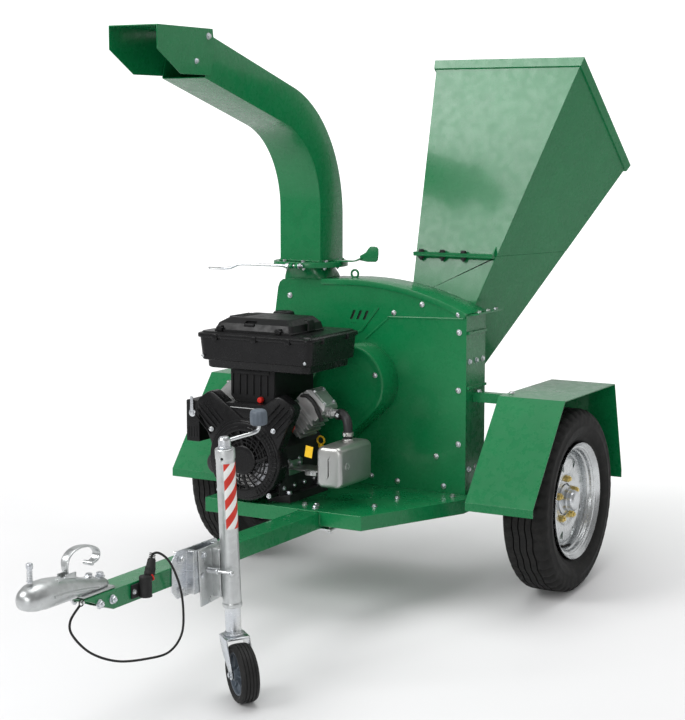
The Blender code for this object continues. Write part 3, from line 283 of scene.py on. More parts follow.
def plastic(name, base=(0.014, 0.014, 0.015), rough=0.36, grain=900.0, depth=0.16, lift=(0.05, 0.05, 0.05)):
    """Moulded plastic: fine eroded grain, faint edge scuffs that also paint a highlight along edges, and dust."""
    t = Tree(name, base, rough, 0.0)
    n = t.noise(14.0, 5, 0.6)
    col = t.ramp(n, [(0.3, tuple(c * 0.8 for c in base)), (0.6, base), (0.85, tuple(min(1, c * 1.35 + 0.002) for c in base))])
    # edge scuffs and painted edge highlight: edges and creases shift towards the lift colour
    edge_wear_and_highlight = t.math('MULTIPLY', t.edge(0.0016), t.rng(t.noise(90.0, 4, 0.7), 0.45, 0.7, 0.0, 0.5))
    dust = t.math('MULTIPLY', t.up(), t.rng(t.noise(12.0, 6, 0.7), 0.4, 0.75, 0.0, 0.05))
    col = t.mix(t.math('ADD', edge_wear_and_highlight, dust), col, lift)
    t.set("Base Color", col)
    t.set("Roughness", t.math('ADD', t.rng(t.noise(45.0, 5, 0.6), 0.3, 0.75, rough * 0.8, rough * 1.3), t.math('MULTIPLY', dust, 1.4)))
    t.set("Normal", t.bump(t.voronoi(grain), depth, 0.0004))
    return t.done(Specular_IOR_Level=0.24)


def rubber(name, base=(0.018, 0.018, 0.018), rough=0.72, dusty=0.10):
    t = Tree(name, base, rough, 0.0)
    n = t.noise(22.0, 6, 0.65)
    col = t.ramp(n, [(0.3, tuple(c * 0.75 for c in base)), (0.55, base), (0.85, tuple(c * 1.6 for c in base))])
    dust = t.rng(t.noise(55.0, 6, 0.75), 0.48, 0.8, 0.0, dusty)
    t.set("Base Color", t.mix(dust, col, (0.16, 0.145, 0.125)))
    t.set("Roughness", t.rng(n, 0.3, 0.8, rough * 0.8, rough * 1.12))
    t.set("Normal", t.bump(t.noise(480.0, 3, 0.7), 0.22, 0.0008))
    return t.done(Specular_IOR_Level=0.22)


GREEN = enamel("green_enamel", (0.0028, 0.152, 0.047), (0.06, 0.26, 0.12))
GALV = galvanised("galvanised_steel")
GALV_RIM = galvanised("galvanised_rim", (0.66, 0.68, 0.69), 0.24, 60.0, 0.97)
ZINC = plated("zinc_plate")
STEEL = plated("machined_steel", (0.50, 0.50, 0.51), 0.26)
ALU = cast("cast_aluminium", (0.56, 0.565, 0.56), 0.40, 0.88)
IRON = cast("black_cast", (0.022, 0.022, 0.023), 0.52, 0.25, 420.0)
BLACK = plastic("black_plastic", (0.0065, 0.0065, 0.007), 0.40)
GLOSS = plastic("black_cover", (0.006, 0.006, 0.0065), 0.28, 1400.0, 0.05)
RUBBER = rubber("soft_rubber", (0.016, 0.016, 0.016), 0.62, 0.04)
TYRE = rubber("tyre_rubber", (0.010, 0.010, 0.0098), 0.74, 0.08)
GREY = plastic("grey_plastic", (0.095, 0.115, 0.14), 0.42, 700.0, 0.2, (0.2, 0.22, 0.24))
YELLOW = plastic("yellow_plastic", (0.78, 0.48, 0.02), 0.34, 900.0, 0.1, (0.85, 0.62, 0.2))
RED = plastic("red_plastic", (0.52, 0.018, 0.012), 0.34, 900.0, 0.1, (0.7, 0.2, 0.15))
BRASS = plated("brass_nut", (0.78, 0.60, 0.22), 0.24)
TAPE_W = plastic("tape_white", (0.72, 0.73, 0.71), 0.38, 700.0, 0.06, (0.45, 0.45, 0.43))
TAPE_R = plastic("tape_red", (0.52, 0.035, 0.022), 0.36, 700.0, 0.06, (0.45, 0.25, 0.22))
PALE = plastic("pale_inlay", (0.46, 0.47, 0.47), 0.42, 900.0, 0.08, (0.6, 0.6, 0.6))


def muffler_skin():
    """Aluminised sheet with a blue-straw heat bloom towards the pipe."""
    t = Tree("muffler_skin", (0.62, 0.63, 0.62), 0.26, 0.96)
    n = t.noise(9.0, 4)
    s = t.nt.nodes.new("ShaderNodeSeparateXYZ")
    t.nt.links.new(t.co, s.inputs[0])
    lo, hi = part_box("muffler")
    heat = t.rng(s.outputs["Z"], lo.z + 0.10, hi.z, 0.0, 0.55)
    col = t.ramp(n, [(0.3, (0.40, 0.41, 0.40)), (0.6, (0.50, 0.51, 0.50)), (0.85, (0.56, 0.56, 0.54))])
    t.set("Base Color", t.mix(t.math('MULTIPLY', heat, n), col, (0.42, 0.33, 0.22)))
    g = t.noise(80.0, 4, 0.6, t.mapping((1, 1, 6)))
    t.set("Roughness", t.rng(g, 0.3, 0.7, 0.32, 0.46))
    t.set("Normal", t.bump(t.noise(90.0, 3), 0.03, 0.0005))
    return t.done()


MUFF = muffler_skin()


# -------------------------------------------------------------- mesh builders
def catmull(pts, per=6, closed=False):
    """Smooth curve through points."""
    P = [Vector(q) for q in pts]
    n = len(P)
    out = []
    last = n if closed else n - 1
    for i in range(last):
        if closed:
            a, b, c, d = P[(i - 1) % n], P[i], P[(i + 1) % n], P[(i + 2) % n]
        else:
            a, b, c, d = P[max(0, i - 1)], P[i], P[i + 1], P[min(n - 1, i + 2)]
        for k in range(per):
            t = k / per
            out.append(0.5 * ((2 * b) + (c - a) * t + (2 * a - 5 * b + 4 * c - d) * t * t + (3 * b - a - 3 * c + d) * t ** 3))
    if not closed:
        out.append(P[-1])
    return out


def frame_of(axis):
    z = Vector(axis).normalized()
    x = Vector((0, 0, 1)) if abs(z.z) < 0.9 else Vector((1, 0, 0))
    x = (x - z * x.dot(z)).normalized()
    return x, z.cross(x), z


def fix(bm):
    bmesh.ops.remove_doubles(bm, verts=bm.verts, dist=1e-7)
    bmesh.ops.recalc_face_normals(bm, faces=bm.faces)
    return bm


def rbox(x0, x1, y0, y1, z0, z1, r=0.0, seg=2):
    """Box with rounded edges."""
    bm = bmesh.new()
    bmesh.ops.create_cube(bm, size=1.0)
    for v in bm.verts:
        v.co = Vector((x0 + (v.co.x + 0.5) * (x1 - x0), y0 + (v.co.y + 0.5) * (y1 - y0), z0 + (v.co.z + 0.5) * (z1 - z0)))
    r = min(r, 0.49 * min(abs(x1 - x0), abs(y1 - y0), abs(z1 - z0)))
    if r > 0:
        bmesh.ops.bevel(bm, geom=list(bm.edges), offset=r, segments=seg, profile=0.5, affect='EDGES', clamp_overlap=True)
    return bm


def round_edges(bm, r, seg=2, angle=25):
    es = [e for e in bm.edges if len(e.link_faces) == 2 and e.calc_face_angle(0) > radians(angle)]
    if es and r > 0:
        bmesh.ops.bevel(bm, geom=es, offset=r, segments=seg, profile=0.5, affect='EDGES', clamp_overlap=True)
    return bm


def place(axis, p, t):
    if axis == 'x':
        return Vector((t, p[0], p[1]))
    if axis == 'y':
        return Vector((p[0], t, p[1]))
    return Vector((p[0], p[1], t))


def prism(axis, pts, a, b, r=0.0, seg=2):
    """Outline pushed along an axis, with its edges rounded by r."""
    bm = bmesh.new()
    lo = [bm.verts.new(place(axis, p, a)) for p in pts]
    hi = [bm.verts.new(place(axis, p, b)) for p in pts]
    n = len(pts)
    for i in range(n):
        j = (i + 1) % n
        bm.faces.new((lo[i], lo[j], hi[j], hi[i]))
    bm.faces.new(lo[::-1])
    bm.faces.new(hi)
    bmesh.ops.recalc_face_normals(bm, faces=bm.faces)
    return round_edges(bm, r, seg)


def lathe(p, axis, prof, n=48, closed=False, turn=0.0):
    """Profile of (radius, along) spun about the axis; ends on the axis close it."""
    x, y, z = frame_of(axis)
    p = Vector(p)
    bm = bmesh.new()
    rows = []
    for r, t in prof:
        if r < 1e-6:
            rows.append([bm.verts.new(p + z * t)])
        else:
            rows.append([bm.verts.new(p + z * t + x * (r * cos(turn + 2 * pi * k / n)) + y * (r * sin(turn + 2 * pi * k / n))) for k in range(n)])
    m = len(rows)
    for i in range(m if closed else m - 1):
        a, b = rows[i], rows[(i + 1) % m]
        if len(a) == 1 and len(b) == 1:
            continue
        for k in range(n):
            j = (k + 1) % n
            if len(a) == 1:
                bm.faces.new((a[0], b[j], b[k]))
            elif len(b) == 1:
                bm.faces.new((a[k], a[j], b[0]))
            else:
                bm.faces.new((a[k], a[j], b[j], b[k]))
    return fix(bm)


def soften(prof, r=0.001, seg=3):
    """Rounds the corners of an open profile of (radius, along)."""
    out = [prof[0]]
    for i in range(1, len(prof) - 1):
        a, b, c = Vector(prof[i - 1]), Vector(prof[i]), Vector(prof[i + 1])
        u, v = a - b, c - b
        if u.length < 1e-7 or v.length < 1e-7:
            out.append(prof[i])
            continue
        d = min(r, u.length * 0.45, v.length * 0.45)
        p0, p1 = b + u.normalized() * d, b + v.normalized() * d
        for k in range(seg + 1):
            t = k / seg
            q = p0 * (1 - t) ** 2 + b * 2 * t * (1 - t) + p1 * t * t
            out.append((q.x, q.y))
    out.append(prof[-1])
    return out


def turned(p, axis, prof, n=48, r=0.001, seg=3):
    """Solid of revolution from an outer profile, closed on the axis, with soft corners."""
    pr = [(0.0, prof[0][1])] + list(prof) + [(0.0, prof[-1][1])]
    return lathe(p, axis, soften(pr, r, seg), n)


def rod(path, r, n=14, per=0, caps=True, closed=False):
    """Round bar along a path; r may be a number or a function of 0..1."""
    pts = catmull(path, per, closed) if per else [Vector(q) for q in path]
    m = len(pts)
    rows = []
    prev = None
    for i, q in enumerate(pts):
        if closed:
            t = pts[(i + 1) % m] - pts[i - 1]
        elif i == 0:
            t = pts[1] - pts[0]
        elif i == m - 1:
            t = pts[-1] - pts[-2]
        else:
            t = (pts[i + 1] - q).normalized() + (q - pts[i - 1]).normalized()
        t.normalize()
        x = frame_of(t)[0] if prev is None else (prev - t * prev.dot(t)).normalized()
        y = t.cross(x)
        prev = x
        rr = r(i / (m - 1)) if callable(r) else r
        rows.append([q + x * (rr * cos(2 * pi * s / n)) + y * (rr * sin(2 * pi * s / n)) for s in range(n)])
    return loft(rows, ring=closed, caps=caps)


def loft(loops, ring=False, caps=True):
    bm = bmesh.new()
    rows = [[bm.verts.new(Vector(q)) for q in lp] for lp in loops]
    n, m = len(rows[0]), len(rows)
    for i in range(m if ring else m - 1):
        a, b = rows[i], rows[(i + 1) % m]
        for k in range(n):
            j = (k + 1) % n
            bm.faces.new((a[k], a[j], b[j], b[k]))
    if caps and not ring:
        bm.faces.new(rows[0][::-1])
        bm.faces.new(rows[-1])
    return fix(bm)


def ribbon(path, width, thick, side, per=8, r=0.0008, bow=0.0):
    """Flat strap along a path; side is the direction across its width."""
    pts = catmull(path, per)
    s = Vector(side).normalized()
    rows = []
    for i, q in enumerate(pts):
        t = (pts[min(i + 1, len(pts) - 1)] - pts[max(i - 1, 0)]).normalized()
        nrm = s.cross(t).normalized()
        f = i / (len(pts) - 1)
        w = width(f) if callable(width) else width
        h = thick / 2
        lp = []
        for a, b in ((-1, -1), (-0.5, -1), (0, -1), (0.5, -1), (1, -1), (1, 1), (0.5, 1), (0, 1), (-0.5, 1), (-1, 1)):
            lp.append(q + s * (a * (w / 2)) + nrm * (b * h + bow * (1 - a * a)))
        rows.append(lp)
    return round_edges(loft(rows), r, 2, 60)


def join(*bms):
    """Several bmeshes in one."""
    out = bmesh.new()
    for b in bms:
        if isinstance(b, (list, tuple)):
            b = join(*b)
        me = bpy.data.meshes.new("tmp")
        b.to_mesh(me)
        out.from_mesh(me)
        b.free()
        bpy.data.meshes.remove(me)
    return out


def turn(bm, m):
    bmesh.ops.transform(bm, matrix=m, verts=bm.verts)
    return bm


def hexhead(p, axis, af=0.013, h=0.0055, washer=True, spin=0.0, dome=0.35):
    """Hex bolt head on a washer, standing on p along axis."""
    R = af / sqrt(3)
    parts = []
    base = 0.0
    if washer:
        parts.append(lathe(p, axis, soften([(R * 0.55, 0.0), (R * 1.28, 0.0), (R * 1.28, h * 0.26), (R * 0.55, h * 0.26)], 0.0003, 2), 28, closed=True))
        base = h * 0.26
    x, y, z = frame_of(axis)
    rows = []
    for t, rr in ((base, 0.97), (base + h * 0.08, 1.0), (base + h * 0.80, 1.0), (base + h * 0.93, 0.93)):
        rows.append([Vector(p) + z * t + (x * cos(a) + y * sin(a)) * (R * rr) for a in [spin + pi / 3 * k / 2 for k in range(12)]])
    for lp in rows:
        for k in range(1, 12, 2):
            c = (lp[k - 1] + lp[(k + 1) % 12]) / 2
            lp[k] = c
    rows.append([Vector(p) + z * (base + h) + (x * cos(a) + y * sin(a)) * (R * 0.74) for a in [spin + pi / 3 * k / 2 for k in range(12)]])
    parts.append(loft(rows))
    return join(*parts)


def nut(p, axis, af=0.013, h=0.006, stud=0.005):
    """Hex nut with washer and a stud end through it."""
    R = af / sqrt(3)
    x, y, z = frame_of(axis)
    st = lathe(Vector(p) + z * (h * 0.9), axis, soften([(0.0, 0.0), (R * 0.46, 0.0), (R * 0.46, stud * 0.8), (R * 0.36, stud), (0.0, stud)], 0.0003, 2), 20)
    return join(hexhead(p, axis, af, h), st)


def put(name, bm, mat, body, frame_m=M, replaces=(), sharp=38, mods=(), weld=True):
    """Finishes a mesh as a named piece that rides on its body."""
    if weld:
        bmesh.ops.remove_doubles(bm, verts=bm.verts, dist=2e-7)
    bm.transform(frame_m)
    me = bpy.data.meshes.new(name)
    bm.to_mesh(me)
    bm.free()
    me.materials.append(mat)
    ob = bpy.data.objects.new(name, me)
    COL.objects.link(ob)
    me.shade_smooth()
    if sharp:
        me.set_sharp_from_angle(angle=radians(sharp))
    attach(ob, body)
    if replaces:
        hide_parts(*replaces)
    return ob


BODY_OF = {n: o["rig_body"] for n, o in frame["nodes"].items()}


def cad_bm(name):
    """The CAD node's shape, welded and with its flat faces merged."""
    bm = bmesh.new()
    bm.from_mesh(frame["nodes"][name].data)
    bmesh.ops.remove_doubles(bm, verts=bm.verts, dist=2e-6)
    bmesh.ops.dissolve_limit(bm, angle_limit=radians(0.6), verts=bm.verts, edges=bm.edges, delimit={'NORMAL'})
    bm.transform(MI)
    return bm


def from_bm_boolean(bm, cutters, op='DIFFERENCE'):
    """Cuts or joins closed meshes and returns the result as a bmesh."""
    me = bpy.data.meshes.new("a")
    bm.to_mesh(me)
    bm.free()
    a = bpy.data.objects.new("a", me)
    COL.objects.link(a)
    for c in cutters:
        mc = bpy.data.meshes.new("c")
        c.to_mesh(mc)
        c.free()
        o = bpy.data.objects.new("c", mc)
        COL.objects.link(o)
        md = a.modifiers.new("b", 'BOOLEAN')
        md.operation = op
        md.solver = 'EXACT'
        md.object = o
        bpy.context.view_layer.update()
        res = bpy.data.meshes.new_from_object(a.evaluated_get(bpy.context.evaluated_depsgraph_get()))
        a.modifiers.clear()
        a.data = res
        bpy.data.objects.remove(o, do_unlink=True)
    out = bmesh.new()
    out.from_mesh(a.data)
    bpy.data.objects.remove(a, do_unlink=True)
    return out


def refine(name, mat, r=0.0012, seg=2, angle=28, bm=None, tag="_skin"):
    """Stands for a CAD node: the same shape with its edges rolled and its shading cleaned."""
    bm = bm or cad_bm(name)
    ob = put(name + tag, bm, mat, BODY_OF[name], M, (name,), sharp=0)
    if r > 0:
        b = ob.modifiers.new("roll", 'BEVEL')
        b.width = r
        b.segments = seg
        b.limit_method = 'ANGLE'
        b.angle_limit = radians(angle)
        b.use_clamp_overlap = True
        b.miter_outer = 'MITER_ARC'
        b.harden_normals = False
    w = ob.modifiers.new("normals", 'WEIGHTED_NORMAL')
    w.weight = 60
    return ob


# ------------------------------------------------------------ shared measures
_lo, _hi = mbox("casing_front_plate")
CY0 = _lo.y                                   # casing front face
CASE_R = _hi.x
CASE_L = _lo.x
_lo, _hi = mbox("casing_rear_plate")
CY1 = _hi.y
RX, RZ = (lambda a: (a.x, a.z))(mid(*mbox("rotor_shaft")))
CX, CZ = (lambda a: (a.x, a.z))(mid(*mbox("engine_pulley")))
_lo, _hi = mbox("deck_plate")
DECK = _hi.z
_lo, _hi = mbox("drawbar")
BAR_H, BAR_T, BAR_B = _hi.x, _hi.z, _lo.z
SPX, SPY = (lambda a: (a.x, a.y))(mid(*mbox("spout_base")))
_lo, _hi = mbox("spout_tube")
SP_FZ = _lo.z                                 # underside of the chute's flange
_j = MI @ Vector(JOINT["spout_turn"]["pos_m"])
SPX, SPY = _j.x, _j.y


def case_top(x):
    if x < -0.10:
        return 0.9585 - (-0.10 - x) * 0.026
    return 0.9585 - (1.0 - sqrt(1.0 - (x + 0.10) ** 2))


def ring_pts(c, r, n, a0=0.0, a1=2 * pi, end=False):
    m = n - 1 if end else n
    return [(c[0] + r * cos(a0 + (a1 - a0) * k / m), c[1] + r * sin(a0 + (a1 - a0) * k / m)) for k in range(n)]


def bar_path(pts, w, h, axis='y', y0=0.0, r=0.0008):
    """Raised rib of width w and height h along an X-Z polyline on a face at y0, standing towards -Y."""
    out = []
    for a, b in zip(pts, pts[1:]):
        a, b = Vector((a[0], 0, a[1])), Vector((b[0], 0, b[1]))
        d = (b - a).normalized()
        nrm = Vector((-d.z, 0, d.x)) * (w / 2)
        a0, b0 = a - d * (w * 0.5), b + d * (w * 0.5)
        base = [a0 - nrm, b0 - nrm, b0 + nrm, a0 + nrm]
        top = [q + (-nrm if i > 1 else nrm) * 0.35 for i, q in enumerate(base)]
        loops = [[Vector((q.x, y0 + 0.0006, q.z)) for q in base], [Vector((q.x, y0 - h * 0.7, q.z)) for q in base], [Vector((q.x, y0 - h, q.z)) for q in top]]
        out.append(loft(loops))
    return join(*out)


# ================================================================ road wheels
def road_wheel(s, nm):
    lo, hi = mbox("tyre_" + nm)
    c = mid(lo, hi)
    R, H = (hi.z - lo.z) / 2, (hi.x - lo.x) / 2
    body = "wheel_" + nm
    # tread and sidewall as one skin of (along, radius) points
    side = [(0.0530, 0.1840), (0.0560, 0.1880), (0.0595, 0.1935), (0.0602, 0.1990), (0.0640, 0.2040), (0.0655, 0.2052), (0.0690, 0.2110), (0.0722, 0.2190), (0.0738, 0.2290),
            (0.0742, 0.2310), (0.0750, 0.2330), (0.0750, 0.2375), (0.0741, 0.2395), (0.0737, 0.2470), (0.0722, 0.2560), (0.0726, 0.2575), (0.0720, 0.2620), (0.0696, 0.2690), (0.0660, 0.2750), (0.0612, 0.2800), (0.0560, 0.2838), (0.0510, 0.2862)]
    side = [(a * H / 0.075, r * R / 0.289) for a, r in side]
    tread = []
    marks = []
    for e0, e1 in ((0.0340, 0.0295), (0.0130, 0.0085)):
        marks += [(e0, 0), (e0 - 0.0007, 1), (e1 + 0.0007, 1), (e1, 0)]
    half = [(0.0470, 0), (0.0425, 0), (0.0385, 0)] + marks[:4] + [(0.0250, 0), (0.0190, 0)] + marks[4:] + [(0.0040, 0)]
    for a, d in half:
        tread.append((a, R - 0.0006 - 0.6 * (a ** 2) - 0.0065 * d, d))
    prof = [(a, r, 0, 'S') for a, r in side] + [(a, r, d, 'T') for a, r, d in tread]
    full = prof + [(-a, r, d, k) for a, r, d, k in prof[::-1]]
    n = 288
    bm = bmesh.new()
    rows = []
    for k in range(n):
        th = 2 * pi * k / n
        q = k % 6
        zig = (abs(((k / 6.0) % 2) - 1) - 0.5) * 0.0042
        row = []
        for i, (a, r, d, kind) in enumerate(full):
            rr, aa = r, a
            if kind == 'T':
                fade = max(0.0, 1.0 - max(0.0, abs(a) - 0.036) / 0.012)
                aa = a + zig * fade
                if not d and abs(a) > 0.036 and q in (0, 1):
                    rr = r - 0.0048
                if not d and 0.014 < abs(a) < 0.029 and q == 3:
                    rr = r - 0.0026
            elif r > R * 0.945:
                if q in (0, 1):
                    rr = r - 0.0042
                    aa = a - (0.0016 if a > 0 else -0.0016)
            elif R * 0.885 < r < R * 0.93 and q in (0, 1, 2):
                aa = a + (0.0007 if a > 0 else -0.0007)
            row.append(bm.verts.new((c.x + s * aa, c.y + rr * cos(th), c.z + rr * sin(th))))
        rows.append(row)
    for k in range(n):
        a, b = rows[k], rows[(k + 1) % n]
        for i in range(len(full) - 1):
            bm.faces.new((a[i], a[i + 1], b[i + 1], b[i]))
        bm.faces.new((a[-1], a[0], b[0], b[-1]))
    bmesh.ops.recalc_face_normals(bm, faces=bm.faces)
    put("tyre_%s_tread" % nm, bm, TYRE, body, M, ("tyre_" + nm,), sharp=42)

    rr = mbox("rim_" + nm)
    RR = (rr[1].z - rr[0].z) / 2
    ax = (s, 0, 0)
    outer = [(RR - 0.0006, 0.0560), (0.1700, 0.0540), (0.1652, 0.0530), (0.1640, -0.0530), (0.1700, -0.0560), (RR, -0.0600), (RR, -0.0640), (RR - 0.0030, -0.0640), (0.1690, -0.0590), (0.1590, -0.0560),
             (0.1590, -0.0100), (0.1400, 0.0060), (0.1300, 0.0240), (0.1010, 0.0265), (0.0820, 0.0240), (0.0740, 0.0195), (0.0525, 0.0170)]
    pr = [(0.0525, 0.0205), (0.0740, 0.0235), (0.0830, 0.0285), (0.1020, 0.0305), (0.1270, 0.0290), (0.1350, 0.0240), (0.1420, 0.0110), (0.1490, 0.0090), (0.1530, 0.0150), (0.1545, 0.0340), (0.1590, 0.0375),
          (0.1605, 0.0470), (0.1650, 0.0510), (0.1690, 0.0515), (0.1735, 0.0575), (RR - 0.0060, 0.0600), (RR - 0.0025, 0.0640), (RR - 0.0008, 0.0665), (RR, 0.0650), (RR - 0.0008, 0.0600)] + outer[1:]
    rim = lathe(c, ax, soften(pr + [pr[0]], 0.0018, 3)[:-1], 96, closed=True)
    cuts = []
    for k in range(8):
        a = 2 * pi * (k + 0.5) / 8
        u, w = Vector((0, cos(a), sin(a))), Vector((0, -sin(a), cos(a)))
        tri = []
        base = [(0.0135, 0.0165), (0.0135, -0.0165), (-0.0150, 0.0)]
        for i in range(3):
            p0, p1, p2 = Vector(base[i - 1]), Vector(base[i]), Vector(base[(i + 1) % 3])
            e0, e1 = p1 + (p0 - p1).normalized() * 0.0075, p1 + (p2 - p1).normalized() * 0.0075
            for t in (0, 0.25, 0.5, 0.75, 1.0):
                q = e0 * (1 - t) ** 2 + p1 * 2 * t * (1 - t) + e1 * t * t
                tri.append(q)
        lps = [[c + Vector((s * t, 0, 0)) + u * (0.1130 + q.x) + w * q.y for q in tri] for t in (0.010, 0.045)]
        cuts.append(loft(lps))
    rim = from_bm_boolean(rim, [join(*cuts)])
    put("rim_%s_pressed" % nm, rim, GALV_RIM, body, M, ("rim_" + nm,), sharp=34)

    hub = turned(c, ax, [(0.0400, -0.0640), (0.0410, -0.0110), (0.0600, -0.0070), (0.0620, 0.0120), (0.0600, 0.0157), (0.0470, 0.0160), (0.0460, 0.0215), (0.0345, 0.0250), (0.0332, 0.0330), (0.0345, 0.0345),
                         (0.0345, 0.0380), (0.0325, 0.0395), (0.0320, 0.0500), (0.0300, 0.0560), (0.0250, 0.0600), (0.0140, 0.0615)], 64, 0.0014, 3)
    put("hub_%s_cap" % nm, hub, ZINC, body, M, ("hub_" + nm,), sharp=40)
    ns = []
    for k in range(5):
        a = 2 * pi * (k + 0.25) / 5
        p = c + Vector((s * 0.0232, cos(a) * 0.0665, sin(a) * 0.0665))
        ns.append(lathe(p - Vector((s * 0.0022, 0, 0)), ax, [(0.0, 0.0), (0.0105, 0.0), (0.0108, 0.0035), (0.0, 0.0040)], 24))
        ns.append(hexhead(p, ax, 0.019, 0.0130, False, a))
        ns.append(turned(p + Vector((s * 0.0115, 0, 0)), ax, [(0.0062, 0.0), (0.0062, 0.0050), (0.0052, 0.0062)], 20, 0.0004, 2))
    put("wheel_nuts_" + nm, join(*ns), BRASS, body, M, (), sharp=30)
    a = radians(232)
    p = c + Vector((s * 0.0535, cos(a) * 0.160, sin(a) * 0.160))
    v = rod([p - Vector((s * 0.004, 0, 0)), p + Vector((s * 0.006, 0, 0)), p + Vector((s * 0.016, -cos(a) * 0.006, -sin(a) * 0.006)), p + Vector((s * 0.026, -cos(a) * 0.010, -sin(a) * 0.010))], lambda t: 0.0042 if t < 0.6 else 0.0036, 14, 4)
    put("valve_stem_" + nm, v, RUBBER, body, M, (), sharp=50)


road_wheel(1, "right")
road_wheel(-1, "left")

# ==================================================================== chassis
refine("drawbar", GREEN, 0.0045, 4)
refine("deck_plate", GREEN, 0.0030, 3)
refine("axle_beam", GALV, 0.002, 2)

b = []
for x, y in ((-0.048, -0.520), (-0.010, -0.512), (0.005, -0.548), (0.154, -0.300), (0.292, -0.190), (0.150, -0.440), (-0.330, -0.540), (-0.330, -0.255)):
    b.append(hexhead((x, y, DECK), (0, 0, 1), 0.014, 0.0065, True, x * 9))
for s in (-1, 1):
    for y in (-0.035, 0.035):
        b.append(hexhead((s * 0.130, y + (0 if y > 0 else -0.02), DECK) if y < 0 else (s * 0.130, 0.030, DECK), (0, 0, 1), 0.014, 0.0065, True, y * 20))
put("deck_bolts", join(*b), ZINC, "chassis", M, (), sharp=30)
# saddle clamps that tie the drawbar up to the deck
b = []
for y in (-0.545, -0.330):
    b.append(rbox(-BAR_H - 0.030, BAR_H + 0.030, y - 0.020, y + 0.020, BAR_B - 0.0066, BAR_B - 0.0006, 0.0015, 2))
    for s in (-1, 1):
        b.append(rod([(s * (BAR_H + 0.018), y, BAR_B - 0.014), (s * (BAR_H + 0.018), y, DECK - 0.006)], 0.0045, 14))
        b.append(nut((s * (BAR_H + 0.018), y, BAR_B - 0.0066), (0, 0, -1), 0.014, 0.0065, 0.006))
put("drawbar_clamps", join(*b), ZINC, "chassis", M, (), sharp=30)
# weld beads where the deck skirt meets the drawbar
def bead(pts, r=0.0028, pitch=0.0040):
    P = catmull(pts, 10) if len(pts) > 2 else [Vector(pts[0]).lerp(Vector(pts[1]), k / 40) for k in range(41)]
    L = sum((b - a).length for a, b in zip(P, P[1:]))
    m = max(8, int(L / pitch) * 4)
    out, acc, i = [], 0.0, 0
    for k in range(m + 1):
        t = L * k / m
        while i < len(P) - 2 and acc + (P[i + 1] - P[i]).length < t:
            acc += (P[i + 1] - P[i]).length
            i += 1
        seg = (P[i + 1] - P[i]).length or 1e-9
        out.append(P[i].lerp(P[i + 1], min(1.0, (t - acc) / seg)))
    return rod(out, lambda f: r * (0.86 + 0.16 * abs(sin(f * m * pi / 4))), 8)


_dlo, _dhi = mbox("deck_plate")
wb = [bead([(s * (BAR_H + 0.0015), _dlo.y - 0.0010, BAR_T - 0.002), (s * (BAR_H + 0.0015), _dlo.y - 0.0010, _dlo.z + 0.004)]) for s in (-1, 1)]
wb += [bead([(-0.0315, y, BAR_T + 0.0018), (0.0315, y, BAR_T + 0.0018)]) for y in (_dlo.y - 0.0012,)]
put("weld_beads", join(*wb), GREEN, "chassis", M, (), sharp=60)

# --------------------------------------------------------------- rotor casing
fp = cad_bm("casing_front_plate")
cuts = []
for k in range(3):
    x = -0.095 + 0.0235 * k
    z0 = 0.8490
    sl = [(x - 0.0058, z0 - 0.0150), (x + 0.0040, z0 - 0.0150), (x + 0.0170, z0 + 0.0150), (x + 0.0072, z0 + 0.0150)]
    cuts.append(prism('y', sl, CY0 - 0.02, CY0 + 0.02, 0.0012, 2))
for k in range(3):
    cuts.append(lathe((-0.094 + 0.0075 * k, CY0 - 0.01, 0.822), (0, 1, 0), [(0.0, 0.0), (0.0016, 0.0), (0.0016, 0.03), (0.0, 0.03)], 14))
fp = from_bm_boolean(fp, cuts)
bmesh.ops.dissolve_limit(fp, angle_limit=radians(0.5), verts=fp.verts, edges=fp.edges)
refine("casing_front_plate", GREEN, 0.0009, 2, bm=fp)
refine("casing_wrapper", GREEN, 0.0012, 2)
refine("casing_rear_plate", GREEN, 0.0012, 2)
# painted shade: a black sheet just behind the vent slots stands for the dark inside of the casing
put("vent_backing", rbox(-0.112, -0.028, CY0 + 0.0052, CY0 + 0.0060, 0.815, 0.872, 0.0002, 1), IRON, "chassis", M, ())
# lapped seam of the lower front sheet, stepping down to the belt cover
put("casing_front_seam", bar_path([(-0.0400, 0.7760), (0.0420, 0.8470), (0.3010, 0.8550)], 0.0060, 0.0020, y0=CY0), GREEN, "chassis", M, (), sharp=30)
# pressed rib beside the vents, and the strip that caps the arch
put("casing_rib", join(bar_path([(0.0010, 0.8740), (-0.0560, 0.8010)], 0.0085, 0.0032, y0=CY0), bar_path([(-0.0560, 0.8010), (-0.0700, 0.7930)], 0.0070, 0.0028, y0=CY0)),
    GREEN, "chassis", M, (), sharp=30)
xs = [-0.10 + 0.415 * k / 24 for k in range(25)]
top = [(x, case_top(x)) for x in xs]
loops = []
for x, z in [(-0.205, case_top(-0.205))] + top:
    nx, nz = (0.026, 1.0) if x < -0.10 else (x + 0.10, sqrt(1 - (x + 0.10) ** 2))
    L = hypot(nx, nz)
    nx, nz = nx / L, nz / L
    zz = z
    a = (x + nx * 0.0001, zz + nz * 0.0001)
    o = (x + nx * 0.0034, zz + nz * 0.0034)
    f = (x - nx * 0.0150, zz - nz * 0.0150)
    loops.append([(a[0], CY1 + 0.0006, a[1]), (o[0], CY1 + 0.0006, o[1]), (o[0], CY0 - 0.0040, o[1]), (f[0], CY0 - 0.0040, f[1]), (f[0], CY0 - 0.0020, f[1]), (a[0], CY0 - 0.0020, a[1])])
put("casing_arch_strip", round_edges(loft(loops), 0.0008, 2, 40), GREEN, "chassis", M, (), sharp=30)

